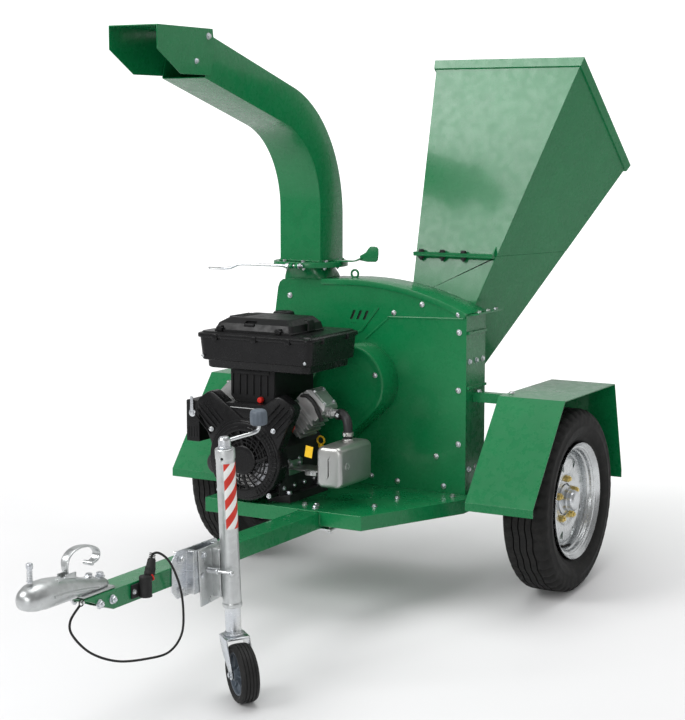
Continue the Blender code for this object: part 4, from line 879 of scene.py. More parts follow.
b = []
for x, z in ((0.290, 0.812), (0.289, 0.630), (0.290, 0.460), (0.213, 0.415), (0.075, 0.322), (0.240, 0.322), (-0.325, 0.900), (-0.385, 0.330), (-0.020, 0.330)):
    b.append(hexhead((x, CY0 - (0.0 if z < 0.84 else 0.0), z), (0, -1, 0), 0.0125, 0.0055, True, x * 7))
for x, z in ((0.286, 0.868), (0.160, 0.893), (0.060, 0.862)):
    b.append(hexhead((x, CY0, z), (0, -1, 0), 0.0115, 0.0050, True, x * 9))
for x, z in ((0.290, 0.812), (0.289, 0.630), (0.290, 0.460), (-0.325, 0.900), (-0.385, 0.400)):
    b.append(nut((x, CY1, z), (0, 1, 0), 0.0125, 0.0060, 0.006))
for y in (-0.128, -0.080, -0.034):
    b.append(hexhead((CASE_R + 0.0002, y, 0.720), (1, 0, 0), 0.0125, 0.0055, True, y * 30))
    b.append(hexhead((CASE_R + 0.0002, y, 0.380), (1, 0, 0), 0.0125, 0.0055, True, y * 30))
for y in (-0.095, -0.030, 0.030):
    b.append(hexhead((CASE_R + 0.0160, y, 0.8715), (0.14, 0, 1), 0.0120, 0.0052, True, y * 30))
put("casing_bolts", join(*b), ZINC, "chassis", M, (), sharp=30)
for nm in ("bearing_front", "bearing_rear"):
    refine(nm, IRON, 0.0015, 2)
b = [hexhead((RX + dx, CY1 + 0.0103, RZ), (0, 1, 0), 0.014, 0.006, True, dx) for dx in (-0.045, 0.045)]
put("bearing_bolts", join(*b), ZINC, "chassis", M, (), sharp=30)


def pulley_outline(c1, r1, c2, r2, n):
    dx, dz = c2[0] - c1[0], c2[1] - c1[1]
    d = hypot(dx, dz)
    base = atan2(dz, dx)
    off = atan2(sqrt(d * d - (r1 - r2) ** 2), r1 - r2)
    return ring_pts(c1, r1, n, base + off, base - off + 2 * pi, True) + ring_pts(c2, r2, n, base - off, base + off, True)


blo, bhi = mbox("belt_cover")
r1, r2 = bhi.z - RZ, CZ - blo.z
o = [pulley_outline((RX, RZ), r1 - d, (CX, CZ), r2 - d, 40) for d in (0.0, 0.0, 0.0022, 0.0060, 0.0130, 0.0180, 0.0215, 0.0250)]
ys = (bhi.y, blo.y + 0.0070, blo.y + 0.0022, blo.y, blo.y, blo.y - 0.0, blo.y + 0.0016, blo.y + 0.0016)
inner = [pulley_outline((RX, RZ), r1 - d, (CX, CZ), r2 - d, 40) for d in (0.0250, 0.0040, 0.0030)]
yi = (blo.y + 0.0032, blo.y + 0.0032, bhi.y)
outer_shell = [[(x, y, z) for x, z in lp] for lp, y in zip(o, ys)]
inner_shell = [[(x, yi[k], z) for x, z in inner[k]] for k in (0, 1, 2)]
cover_solid = loft([outer_shell[0], outer_shell[1], outer_shell[2], outer_shell[3], outer_shell[4], outer_shell[6], outer_shell[7]])
hollow = loft([inner_shell[2][:], inner_shell[1][:]])
for v in hollow.verts:
    if abs(v.co.y - bhi.y) < 1e-4:
        v.co.y += 0.02
boss = lathe((CX, 0, CZ), (0, 1, 0), [(0.0, blo.y - 0.02), (0.034, blo.y - 0.02), (0.034, blo.y + 0.02), (0.0, blo.y + 0.02)], 64)
put("belt_cover_shell", from_bm_boolean(cover_solid, [hollow, boss]), GREEN, "chassis", M, ("belt_cover",), sharp=28)
b = []
for a in (20, 110, 200):
    b.append(hexhead((RX + 0.098 * cos(radians(a)), blo.y, RZ + 0.098 * sin(radians(a))), (0, -1, 0), 0.0115, 0.0050, True, a))
put("belt_cover_bolts", join(*b), ZINC, "chassis", M, (), sharp=30)

# ------------------------------------------------------------------ mudguards
for s, nm in ((1, "right"), (-1, "left")):
    refine("mudguard_" + nm, GREEN, 0.0026, 4, angle=12)
    b = []
    x = s * 0.441
    for y in (-0.085,):
        b.append(nut((x, y, 0.6145), (0, 0, -1), 0.014, 0.0065, 0.006))
        b.append(turned((x, y, 0.6260), (0, 0, 1), [(0.0095, 0.0), (0.0088, 0.0022), (0.0055, 0.0042), (0.0020, 0.0048)], 28, 0.0004, 2))
    xe = (CASE_R + 0.014) if s > 0 else (CASE_L - 0.014)
    b.append(hexhead((xe, -0.085, 0.6210), (0, 0, 1), 0.0125, 0.0058, True, 0.3))
    put("mudguard_bolts_" + nm, join(*b), ZINC, "chassis", M, (), sharp=30)

# -------------------------------------------------------------------- hopper
for nm in ("hopper_lower", "hopper_upper"):
    refine(nm, GREEN, 0.0026, 3)
zs = 1.040
fs = 0.1690 / 0.7390
fy = -0.011 + (zs - 0.898) * fs
b = []
for x in (0.075, 0.150, 0.225):
    b.append(hexhead((x, fy - 0.0125, zs + 0.0066), (0, 0, 1), 0.0150, 0.0070, True, x * 11))
    b.append(nut((x, fy - 0.0125, zs - 0.0066), (0, 0, -1), 0.0150, 0.0075, 0.0070))
put("hopper_flange_bolts", join(*b), IRON, "chassis", M, (), sharp=30)

# ============================================================ discharge chute
slo, shi = mbox("spout_tube")
SX0, SX1 = SPX - 0.0765, SPX + 0.0765
OUT_R, OUT_Z, IN_R, IN_Z, TURN = 0.430, 1.1553, 0.280, 1.1828, radians(73.7)
Y_OUT, Y_IN = -0.003, -0.151
curve = [((Y_OUT, SP_FZ + 0.0065), (Y_IN, SP_FZ + 0.0065)), ((Y_OUT, 1.08), (Y_IN, 1.09)), ((Y_OUT, OUT_Z - 0.004), (Y_IN, IN_Z - 0.004))]
for k in range(41):
    f = TURN * k / 40
    curve.append(((Y_OUT - OUT_R * (1 - cos(f)), OUT_Z + OUT_R * sin(f)), (Y_IN - IN_R * (1 - cos(f)), IN_Z + IN_R * sin(f))))
last_o, last_i = curve[-1]
for k in (0.03, 0.5, 0.985, 1.0):
    curve.append(((last_o[0] + (-0.764 - last_o[0]) * k, last_o[1] + (1.703 - last_o[1]) * k), (last_i[0] + (-0.798 - last_i[0]) * k, last_i[1] + (1.582 - last_i[1]) * k)))


def tube_rings(t, grow=0.0, cr=0.0035):
    out = []
    for (yo, zo), (yi, zi) in curve:
        d = hypot(yo - yi, zo - zi)
        uy, uz = (yi - yo) / d, (zi - zo) / d
        x0, x1, a, b = SX0 + t, SX1 - t, t, d - t
        lp = []
        for cx, cb, sx, sb, st in ((x1 - cr, a + cr, 1, -1, -90), (x1 - cr, b - cr, 1, 1, 0), (x0 + cr, b - cr, -1, 1, 90), (x0 + cr, a + cr, -1, -1, 180)):
            for q in (0, 30, 60, 90):
                an = radians(st + q)
                px, pb = cx + cr * cos(an), cb + cr * sin(an)
                lp.append((px, yo + uy * pb, zo + uz * pb))
        out.append(lp)
    return out


tube = loft(tube_rings(0.0) + tube_rings(0.003, cr=0.0015)[::-1], ring=True)
put("chute_tube_skin", tube, GREEN, "spout", M, ("spout_tube",), sharp=26)
FR = 0.1135
fl = lathe((SPX, SPY, 0), (0, 0, 1), soften([(0.0772, SP_FZ), (FR, SP_FZ), (FR, SP_FZ + 0.0070), (0.0772, SP_FZ + 0.0070), (0.0772, SP_FZ)], 0.0008, 2)[:-1], 96, closed=True)
sq = rbox(SX0 - 0.0025, SX1 + 0.0025, Y_IN - 0.0025, Y_OUT + 0.0025, SP_FZ + 0.0060, SP_FZ + 0.0098, 0.0016, 2)
put("chute_flange_ring", from_bm_boolean(fl, [sq], 'UNION'), GREEN, "spout", M, (), sharp=34)
wb = []
for (x0, y0), (x1, y1) in (((SX0, Y_IN - 0.003), (SX1, Y_IN - 0.003)), ((SX0, Y_OUT + 0.003), (SX1, Y_OUT + 0.003)), ((SX0 - 0.003, Y_IN), (SX0 - 0.003, Y_OUT)), ((SX1 + 0.003, Y_IN), (SX1 + 0.003, Y_OUT))):
    wb.append(bead([(x0, y0, SP_FZ + 0.0102), (x1, y1, SP_FZ + 0.0102)], 0.0024))
put("chute_weld", join(*wb), GREEN, "spout", M, (), sharp=60)
# folded paddle handle
ph = prism('y', [(-0.100, 1.0178), (-0.072, 1.0140), (-0.042, 1.0148), (-0.0350, 1.0210), (-0.0330, 1.0400), (-0.0330, 1.0560), (-0.0380, 1.0630), (-0.0470, 1.0645), (-0.0620, 1.0640), (-0.0700, 1.0560),
                 (-0.0790, 1.0440), (-0.1000, 1.0330)], -0.0862, -0.0800, 0.0020, 3)
armp = [(-0.192, -0.083, 1.0140), (-0.150, -0.083, 1.0140), (-0.122, -0.083, 1.0146), (-0.108, -0.083, 1.0190), (-0.092, -0.083, 1.0262)]
arm = ribbon(armp, lambda f: 0.034 - 0.016 * f, 0.0042, (0, 1, 0), 6, 0.0006)
put("chute_handle", join(arm, ph), GREEN, "spout", M, (), sharp=34)
b = []
for k in range(8):
    a = 2 * pi * (k + 0.35) / 8
    p = (SPX + 0.0985 * cos(a), SPY + 0.0985 * sin(a))
    if -0.195 < p[0] < -0.10 and -0.105 < p[1] < -0.06:
        continue
    b.append(hexhead((p[0], p[1], SP_FZ + 0.0071), (0, 0, 1), 0.0105, 0.0052, True, k))
put("chute_flange_bolts", join(*b), ZINC, "spout", M, (), sharp=30)

# fixed base: square to round transition, with its flange and split clamp
N = 64


def sq_pts(x0, x1, y0, y1, r=0.008):
    cx, cy, hx, hy = (x0 + x1) / 2, (y0 + y1) / 2, (x1 - x0) / 2, (y1 - y0) / 2
    out = []
    for k in range(N):
        a = 2 * pi * (k + 0.5) / N
        c, s = cos(a), sin(a)
        m = (abs(c / hx) ** 9 + abs(s / hy) ** 9) ** (-1 / 9)
        out.append((cx + c * m, cy + s * m))
    return out


def rd_pts(r):
    return [(SPX + r * cos(2 * pi * (k + 0.5) / N), SPY + r * sin(2 * pi * (k + 0.5) / N)) for k in range(N)]


base = []
s0, s1 = sq_pts(-0.356, -0.205, -0.1440, -0.0170), rd_pts(0.0780)
for k in range(9):
    t = k / 8
    e = t * t * (3 - 2 * t)
    base.append([(a[0] + (b_[0] - a[0]) * e, a[1] + (b_[1] - a[1]) * e, (case_top(a[0]) + 0.0006) * (1 - t) + 0.9975 * t) for a, b_ in zip(s0, s1)])
lo_z, hi_z = 0.9985, SP_FZ - 0.0003
for r, z in ((0.0800, 0.9983), (0.1120, 0.9985), (FR, 0.9995), (FR, hi_z - 0.0010), (0.1125, hi_z), (0.0750, hi_z)):
    base.append([(x, y, z) for x, y in rd_pts(r)])
i0, i1 = sq_pts(-0.353, -0.208, -0.1410, -0.0200), rd_pts(0.0750)
for t in (1.0, 0.5, 0.0):
    base.append([(a[0] + (b_[0] - a[0]) * t, a[1] + (b_[1] - a[1]) * t, (case_top(a[0]) + 0.0006) * (1 - t) + 0.9975 * t) for a, b_ in zip(i0, i1)])
LA = radians(-82)
lx, ly = cos(LA), sin(LA)
tx, ty = -ly, lx


def at(rad, tan, z):
    return Vector((SPX + lx * rad + tx * tan, SPY + ly * rad + ty * tan, z))


ringp = soften([(0.1160, 0.9945), (0.1220, 0.9945), (0.1220, 1.0115), (0.1160, 1.0115), (0.1160, 0.9945)], 0.0010, 2)[:-1]
clamp = lathe((SPX, SPY, 0), (0, 0, 1), ringp, 96, closed=True)
gap = loft([[at(0.09, -0.0038, z), at(0.17, -0.0038, z), at(0.17, 0.0038, z), at(0.09, 0.0038, z)] for z in (0.98, 1.03)])
clamp = from_bm_boolean(clamp, [gap])


def lug(t0, t1):
    lps = []
    for t in (t0, t1):
        lp = []
        for k in range(13):
            a = -pi / 2 + pi * k / 12
            lp.append(at(0.139 + 0.0110 * cos(a), t, 1.0030 + 0.0085 * sin(a)))
        lp += [at(0.1165, t, 1.0115), at(0.1165, t, 0.9945)]
        lps.append(lp)
    return round_edges(loft(lps), 0.0008, 2, 50)


web = lathe((SPX, SPY, 0), (0, 0, 1), [(0.1000, 0.9951), (0.1175, 0.9951), (0.1175, 0.9980), (0.1000, 0.9980)], 96, closed=True)
put("chute_base_neck", loft(base, ring=True), GREEN, "chassis", M, ("spout_base",), sharp=40)
put("chute_clamp_ring", join(clamp, lug(-0.0160, -0.0045), lug(0.0045, 0.0160), web), GREEN, "chassis", M, (), sharp=34)
wbd = bead([(x * 1.0, y, case_top(x) + 0.0016) for x, y in sq_pts(-0.3585, -0.2025, -0.1465, -0.0145)][::4] + [(sq_pts(-0.3585, -0.2025, -0.1465, -0.0145)[0][0], sq_pts(-0.3585, -0.2025, -0.1465, -0.0145)[0][1], case_top(-0.2025) + 0.0016)], 0.0022)
put("chute_base_weld", wbd, GREEN, "chassis", M, (), sharp=60)
b = []
for k in range(8):
    a = 2 * pi * (k + 0.35) / 8
    p = (SPX + 0.0905 * cos(a), SPY + 0.0905 * sin(a))
    b.append(nut((p[0], p[1], 0.9949), (0, 0, -1), 0.0105, 0.0060, 0.005))
put("chute_base_nuts", join(*b), ZINC, "chassis", M, (), sharp=30)
# lifting eye on its boss
ey = join(lathe((-0.121, -0.080, 0.9735), (0, 1, 0), [(0.0125 + 0.0036 * cos(2 * pi * k / 14), 0.0036 * sin(2 * pi * k / 14)) for k in range(14)], 40, closed=True),
          turned((-0.121, -0.080, 0.0), (0, 0, 1), [(0.0088, case_top(-0.121) - 0.001), (0.0088, 0.9600), (0.0066, 0.9625), (0.0050, 0.9640)], 28, 0.0008, 2))
put("lifting_eye", ey, GREEN, "chassis", M, (), sharp=40)
# clamp lever: bent bar, hex ends and a flattened grip
p0, tv = at(0.138, 0, 1.0030), Vector((tx, ty, 0))
pth = [p0 + tv * 0.030, p0, p0 - tv * 0.100, p0 - tv * 0.186, p0 - tv * 0.210 + Vector((0, 0, -0.006)), p0 - tv * 0.230 + Vector((0, 0, -0.0135)), p0 - tv * 0.262 + Vector((0, 0, -0.0155)), p0 - tv * 0.304 + Vector((0, 0, -0.016))]
lev = rod(pth, 0.0047, 18, 6)
grip = loft([[p0 - tv * t + Vector((0, 0, -0.0155)) + Vector((lx, ly, 0)) * (w * cos(2 * pi * k / 20)) + Vector((0, 0, h * sin(2 * pi * k / 20))) for k in range(20)]
             for t, w, h in ((0.246, 0.0046, 0.0046), (0.256, 0.0085, 0.0042), (0.270, 0.0108, 0.0038), (0.290, 0.0112, 0.0036), (0.301, 0.0090, 0.0036), (0.305, 0.0040, 0.0020))])
put("chute_clamp_bar", join(lev, grip, hexhead(p0 - tv * 0.0166, -tv, 0.0155, 0.0105, True, 0.2), hexhead(p0 + tv * 0.0166, tv, 0.0155, 0.0080, True, 0.5)), ZINC, "spout_lever", M, ("spout_clamp_lever",), sharp=34)

# deflector hood: folded sheet with returned lips
hb = cad_bm("deflector_hood")
refine("deflector_hood", GREEN, 0.0016, 2, bm=hb)
dj = MI @ Vector(JOINT["deflector_tilt"]["pos_m"])
hlo, hhi = mbox("deflector_hood")
b = []
for s, x in ((-1, hlo.x), (1, hhi.x)):
    b.append(hexhead((x, dj.y, dj.z), (s, 0, 0), 0.0135, 0.0060, True, 0.4))
    b.append(hexhead((x, dj.y - 0.062, dj.z - 0.072), (s, 0, 0), 0.0115, 0.0052, True, 0.1))
put("deflector_bolts", join(*b), ZINC, "deflector", M, (), sharp=30)

# ===================================================================== engine
EN = {n: mbox(n) for n in ("fuel_tank", "air_cleaner_cover", "fuel_cap", "air_cleaner_clip", "blower_cowl", "engine_shroud", "muffler", "starter_motor", "control_box", "crankcase", "dipstick", "cylinder_left", "cylinder_right")}
refine("crankcase", IRON, 0.0030, 3)
b = []
for x in (-0.305, -0.135):
    for y in (-0.505, -0.325):
        b.append(hexhead((x + (0.022 if x > -0.2 else -0.022), y, 0.3250), (0, 0, 1), 0.0150, 0.0075, True, x * 9 + y))
for k in range(7):
    z = 0.345 + 0.022 * k
    b.append(hexhead((-0.1198, -0.525 + 0.03 * k, 0.345 + (0.08 if k % 2 else 0)), (1, 0, 0), 0.0100, 0.0048, True, k))
put("engine_mount_bolts", join(*b), ZINC, "chassis", M, (), sharp=30)


def rr_loop(x0, x1, y0, y1, z, r, n=6):
    """Rounded rectangle at height z."""
    out = []
    for cx, cy, st in ((x1 - r, y1 - r, 0), (x0 + r, y1 - r, 90), (x0 + r, y0 + r, 180), (x1 - r, y0 + r, 270)):
        for k in range(n + 1):
            a = radians(st + 90 * k / n)
            out.append((cx + r * cos(a), cy + r * sin(a), z))
    return out


t0, t1 = EN["fuel_tank"]
X0, X1, Y0, Y1 = t0.x, t1.x, t0.y, t1.y
ZT = 0.824
loops = []
for ins, z, r in ((0.034, 0.7105, 0.020), (0.030, 0.7100, 0.022), (0.0255, 0.7125, 0.024), (0.0245, 0.7165, 0.024), (0.0240, 0.7320, 0.024), (0.0225, 0.7345, 0.024), (0.0130, 0.7355, 0.026), (0.0112, 0.7375, 0.026),
                  (0.0065, 0.7980, 0.026), (0.0060, 0.8040, 0.026), (0.0012, 0.8052, 0.027), (0.0002, 0.8070, 0.028), (0.0, 0.8140, 0.028), (0.0008, 0.8170, 0.028), (0.0030, 0.8185, 0.028),
                  (0.0075, 0.8190, 0.026), (0.0090, 0.8200, 0.026), (0.0120, 0.8236, 0.026), (0.0150, ZT, 0.026), (0.024, ZT + 0.0002, 0.024), (0.034, ZT + 0.0002, 0.022), (0.060, ZT + 0.0002, 0.02)):
    loops.append(rr_loop(X0 + ins, X1 - ins, Y0 + ins, Y1 - ins, z, r))
tk = loft(loops)
fc = MI @ Vector(JOINT["filler_cap_turn"]["pos_m"])
neck = turned((fc.x, fc.y, 0), (0, 0, 1), [(0.0290, ZT - 0.004), (0.0290, 0.8280), (0.0210, 0.8300), (0.0205, 0.8418)], 48, 0.0012, 3)
# bosses, gussets and latch pads moulded round the tank's lip
pads = []
for x in (-0.320, -0.180, -0.060):
    pads.append(rbox(x - 0.009, x + 0.009, Y0 - 0.0030, Y0 + 0.012, 0.7990, 0.8175, 0.0018, 2))
for y in (-0.520, -0.370):
    pads.append(rbox(X1 - 0.012, X1 + 0.0030, y - 0.009, y + 0.009, 0.7990, 0.8175, 0.0018, 2))
    pads.append(rbox(X0 - 0.0030, X0 + 0.012, y - 0.009, y + 0.009, 0.7990, 0.8175, 0.0018, 2))
put("tank_moulding", join(tk, neck, *pads), GLOSS, "chassis", M, ("fuel_tank",), sharp=30)
b = [turned((X0 + 0.0265, Y0 + 0.006, 0.748), (0, -1, 0), [(0.0050, -0.002), (0.0050, 0.0014), (0.0035, 0.0024)], 20, 0.0003, 2),
     turned((X1 - 0.026, Y0 + 0.0105, 0.746), (0, -1, 0), [(0.0050, -0.002), (0.0050, 0.0014), (0.0035, 0.0024)], 20, 0.0003, 2)]
put("tank_screws", join(*b), ZINC, "chassis", M, (), sharp=30)

a0, a1 = EN["air_cleaner_cover"]
ZL = a0.z
loops = []
for ix, iy, iyb, z, r in ((0.0, 0.0, 0.0, ZL, 0.014), (0.0, 0.0, 0.0, ZL + 0.0040, 0.014), (0.0030, 0.0030, 0.0010, ZL + 0.0060, 0.014), (0.0060, 0.0068, 0.0020, ZL + 0.0150, 0.014), (0.0098, 0.0118, 0.0038, ZL + 0.0256, 0.014),
                       (0.0120, 0.0140, 0.0044, ZL + 0.0268, 0.014), (0.0330, 0.0350, 0.0076, ZL + 0.0402, 0.012), (0.0360, 0.0380, 0.0088, ZL + 0.0414, 0.012), (0.0420, 0.0440, 0.0130, ZL + 0.0417, 0.011), (0.0700, 0.0700, 0.050, ZL + 0.0417, 0.008)):
    loops.append(rr_loop(a0.x + ix, a1.x - ix, a0.y + iy, a1.y - iyb, z, r))
lid = loft(loops)
rec = rbox(-0.2380, -0.1980, a0.y - 0.004, a0.y + 0.0300, ZL + 0.0180, ZL + 0.0340, 0.0030, 3)
lid = from_bm_boolean(lid, [rec])
tab = rbox(-0.2360, -0.2000, a0.y + 0.0060, a0.y + 0.0290, ZL + 0.0175, ZL + 0.0270, 0.0026, 3)
lugs = []
for x in (-0.3180, -0.1080):
    lugs.append(rbox(x - 0.0085, x + 0.0085, a0.y - 0.0060, a0.y + 0.0200, ZL, ZL + 0.0180, 0.0024, 2))
    lugs.append(rod([(x - 0.0120, a0.y - 0.0020, ZL + 0.0110), (x + 0.0120, a0.y - 0.0020, ZL + 0.0110)], 0.0030, 14))
for k in range(6):
    lugs.append(rbox(-0.3180 + 0.0090 * k, -0.3145 + 0.0090 * k, -0.5200, -0.4100, ZL + 0.0395, ZL + 0.0428, 0.0010, 2))
put("air_cleaner_lid", join(lid, tab, *lugs), BLACK, "chassis", M, ("air_cleaner_cover",), sharp=30)

# fuel cap with grip flutes
f0, f1 = EN["fuel_cap"]
NC = 96
rows = []
for z, r, g in ((f0.z, 0.0290, 0), (f0.z + 0.0002, 0.0330, 0), (f0.z + 0.0016, 0.0340, 1), (f0.z + 0.0200, 0.0338, 1), (f0.z + 0.0238, 0.0325, 1), (f0.z + 0.0262, 0.0298, 0.3), (f0.z + 0.0272, 0.0262, 0), (f0.z + 0.0258, 0.0238, 0),
                (f0.z + 0.0255, 0.0100, 0), (f0.z + 0.0268, 0.0080, 0), (f0.z + 0.0272, 0.0030, 0)):
    rows.append([(fc.x + (r - (0.0012 * g if k % 4 in (0, 1) else 0)) * cos(2 * pi * k / NC), fc.y + (r - (0.0012 * g if k % 4 in (0, 1) else 0)) * sin(2 * pi * k / NC), z) for k in range(NC)])
put("fuel_cap_fluted", loft(rows), BLACK, "filler_cap", M, ("fuel_cap",), sharp=40)
# side clip
c0, c1 = EN["air_cleaner_clip"]
cl = ribbon([(c1.x - 0.0016, (c0.y + c1.y) / 2, c0.z + 0.0004), (c1.x - 0.0012, (c0.y + c1.y) / 2, c0.z + 0.012), (c1.x - 0.0020, (c0.y + c1.y) / 2, c0.z + 0.026), (c1.x - 0.0040, (c0.y + c1.y) / 2, c1.z - 0.0030), (c1.x - 0.0100, (c0.y + c1.y) / 2, c1.z - 0.0016), (c0.x + 0.0020, (c0.y + c1.y) / 2, c1.z - 0.0030)],
            lambda f: 0.042 - 0.010 * f, 0.0026, (0, 1, 0), 8, 0.0005)
hook = rod([(c1.x - 0.0015, (c0.y + c1.y) / 2 - 0.0225, c0.z + 0.0030), (c1.x - 0.0015, (c0.y + c1.y) / 2 + 0.0225, c0.z + 0.0030)], 0.0026, 14)
put("air_cleaner_clip_sprung", join(cl, hook), BLACK, "cleaner_clip", M, ("air_cleaner_clip",), sharp=34)

# shroud between the vee and the tank, with its collar
sh = cad_bm("engine_shroud")
refine("engine_shroud", BLACK, 0.0045, 3, bm=sh)
col = [rbox(-0.2820, -0.1580, -0.5480, -0.5440, 0.6950, 0.7085, 0.0012, 2)]
for k in range(6):
    col.append(rbox(-0.2920 + 0.0250 * k, -0.2880 + 0.0250 * k, -0.5490, -0.5440, 0.6300, 0.6920, 0.0010, 2))
put("shroud_ribs", join(*col), BLACK, "chassis", M, (), sharp=34)

# ------------------------------------------------------------- blower cowl
w0, w1 = EN["blower_cowl"]
YF, YB = -0.600, w1.y
cc = Vector((CX, 0, CZ))


def wing(sx):
    """One leaning cover over a cylinder: a crowned plate with rolled edges."""
    pts = [(-0.200, 0.460), (-0.300, 0.430), (-0.330, 0.448), (-0.392, 0.588), (-0.3955, 0.602), (-0.388, 0.616), (-0.357, 0.636), (-0.344, 0.640), (-0.331, 0.637), (-0.222, 0.560), (-0.200, 0.540)]
    q = []
    for x, z in pts:
        q.append((x if sx < 0 else 2 * CX - x, z))
    lps = []
    cxm, czm = sum(p[0] for p in q) / len(q), sum(p[1] for p in q) / len(q)
    for s, y in ((1.0, YB), (1.0, YB - 0.030), (0.996, YB - 0.036), (0.985, YB - 0.0395), (0.965, YB - 0.0420), (0.93, YB - 0.0433)):
        lps.append([(cxm + (x - cxm) * s, y, czm + (z - czm) * s) for x, z in q])
    return loft(lps)


ribs = []
for sx in (-1, 1):
    d = Vector((sx * sin(radians(45)), 0, cos(radians(45))))      # up the cylinder
    n = Vector((d.z, 0, -d.x))
    for k, off in enumerate((-0.038, -0.022, -0.006, 0.010, 0.026)):
        lo_t, hi_t = 0.138, 0.228 - 0.012 * abs(off + 0.006) / 0.03
        path = [cc + d * t + n * off for t in (lo_t, (lo_t + hi_t) / 2, hi_t)]
        rb = [Vector((p.x, YB - 0.0428, p.z)) for p in path]
        lps = []
        for j, (p, w, h) in enumerate([(rb[0] - d * 0.004, 0.0010, 0.0002), (rb[0], 0.0026, 0.0036), (rb[1], 0.0028, 0.0048), (rb[2], 0.0026, 0.0042), (rb[2] + d * 0.005, 0.0010, 0.0002)]):
            lps.append([p - n * w, p - n * w * 0.5 + Vector((0, -h, 0)), p + n * w * 0.5 + Vector((0, -h, 0)), p + n * w, p + Vector((0, 0.003, 0))])
        ribs.append(loft(lps))
# centre plate of the vee: plain trapezium with a raised pale outline
trap = [(-0.287, 0.5950), (-0.155, 0.5950), (-0.196, 0.5350), (-0.244, 0.5350)]
centre = prism('y', [(-0.3050, 0.6080), (-0.1370, 0.6080), (-0.1900, 0.5150), (-0.2500, 0.5150)], YB - 0.0380, YB - 0.0010, 0.0030, 2)
put("vee_centre_plate", centre, GLOSS, "chassis", M, (), sharp=34)
edge = []
for p, q in zip(trap, trap[1:] + trap[:1]):
    edge.append(rod([(p[0], YB - 0.0382, p[1]), (q[0], YB - 0.0382, q[1])], 0.0011, 8))
put("vee_plate_outline", join(*edge), PALE, "chassis", M, (), sharp=50)

bowl = [(0.1280, YB), (0.1280, YF + 0.0160), (0.1272, YF + 0.0105), (0.1240, YF + 0.0062), (0.1190, YF + 0.0048), (0.1175, YF + 0.0048), (0.1160, YF + 0.0020), (0.1120, YF + 0.0005), (0.0980, YF), (0.0940, YF - 0.0006), (0.0905, YF + 0.0006),
        (0.0890, YF + 0.0040), (0.0885, YF + 0.0060), (0.1060, YF + 0.0075), (0.1210, YF + 0.0170), (0.1235, YB)]
cowl = lathe(cc, (0, 1, 0), bowl, 96, closed=True)
grill = []
hubp = [(0.0, YF - 0.0046), (0.0330, YF - 0.0046), (0.0420, YF - 0.0040), (0.0440, YF - 0.0022), (0.0440, YF + 0.0045), (0.0, YF + 0.0045)]
grill.append(lathe(cc, (0, 1, 0), soften(hubp, 0.0012, 3), 72))
grill.append(lathe(cc, (0, 1, 0), [(0.0440 + 0.0015 * cos(2 * pi * k / 8), YF - 0.0030 + 0.0015 * sin(2 * pi * k / 8)) for k in range(8)], 72, closed=True))
for R_ in (0.0560, 0.0670, 0.0780):
    grill.append(lathe(cc, (0, 1, 0), [(R_ - 0.0016, YF - 0.0016), (R_ + 0.0016, YF - 0.0016), (R_ + 0.0016, YF + 0.0036), (R_ - 0.0016, YF + 0.0036)], 96, closed=True))
for k in range(20):
    a = 2 * pi * k / 20
    w = 0.0016 if k % 5 else 0.0042
    u, v = Vector((cos(a), 0, sin(a))), Vector((-sin(a), 0, cos(a)))
    lps = []
    for r, tw in ((0.0420, 0.0), (0.0560, 0.05), (0.0700, 0.12), (0.0900, 0.20)):
        uu = Vector((cos(a + tw), 0, sin(a + tw)))
        vv = Vector((-sin(a + tw), 0, cos(a + tw)))
        p = cc + uu * r
        lps.append([Vector((p.x, YF - 0.0022, p.z)) - vv * w, Vector((p.x, YF - 0.0022, p.z)) + vv * w, Vector((p.x, YF + 0.0045, p.z)) + vv * w, Vector((p.x, YF + 0.0045, p.z)) - vv * w])
    grill.append(round_edges(loft(lps), 0.0006, 1, 40))
outer_ribs = []
for k in range(26):
    a = radians(-62 + 6.2 * k)
    if a > radians(75):
        continue
    u = Vector((cos(a), 0, sin(a)))
    v = Vector((-sin(a), 0, cos(a)))
    lps = []
    for r, y in ((0.0985, YF - 0.0012), (0.1110, YF - 0.0010), (0.1180, YF + 0.0040)):
        p = cc + u * r
        lps.append([Vector((p.x, y, p.z)) - v * 0.0013, Vector((p.x, y - 0.0016, p.z)), Vector((p.x, y, p.z)) + v * 0.0013, Vector((p.x, y + 0.004, p.z))])
    outer_ribs.append(loft(lps))
sw = []
for R_, a_0, a_1 in ((0.1040, -70, 80), (0.1200, -75, 95), (0.1040, 100, 150), (0.1040, 190, 235)):
    pth = [cc + Vector((cos(radians(a_0 + (a_1 - a_0) * k / 20)) * R_, 0, sin(radians(a_0 + (a_1 - a_0) * k / 20)) * R_)) for k in range(21)]
    yy = YF + (0.0002 if R_ < 0.11 else 0.0060)
    sw.append(rod([(p.x, yy, p.z) for p in pth], 0.0018, 8))
put("cowl_scroll", join(cowl, *grill, *outer_ribs, *sw), GLOSS, "chassis", M, ("blower_cowl",), sharp=34)
put("cowl_wings", join(wing(-1), wing(1), *ribs), GLOSS, "chassis", M, (), sharp=32)
b = []
for x, z in ((CX - 0.118, CZ + 0.086), (CX + 0.106, CZ + 0.098), (CX + 0.090, CZ - 0.103), (CX - 0.092, CZ - 0.100)):
    b.append(lathe((x, YB - 0.0460, z), (0, 1, 0), soften([(0.0, 0.0), (0.0085, 0.0), (0.0095, 0.0440), (0.0, 0.0440)], 0.001, 2), 24))
put("cowl_bosses", join(*b), GLOSS, "chassis", M, (), sharp=34)
b = []
for x, z in ((CX - 0.118, CZ + 0.086), (CX + 0.106, CZ + 0.098), (CX + 0.090, CZ - 0.103), (CX - 0.092, CZ - 0.100)):
    b.append(hexhead((x, YB - 0.0461, z), (0, -1, 0), 0.0110, 0.0058, True, x * 17))
put("cowl_bolts", join(*b), ZINC, "chassis", M, (), sharp=30)
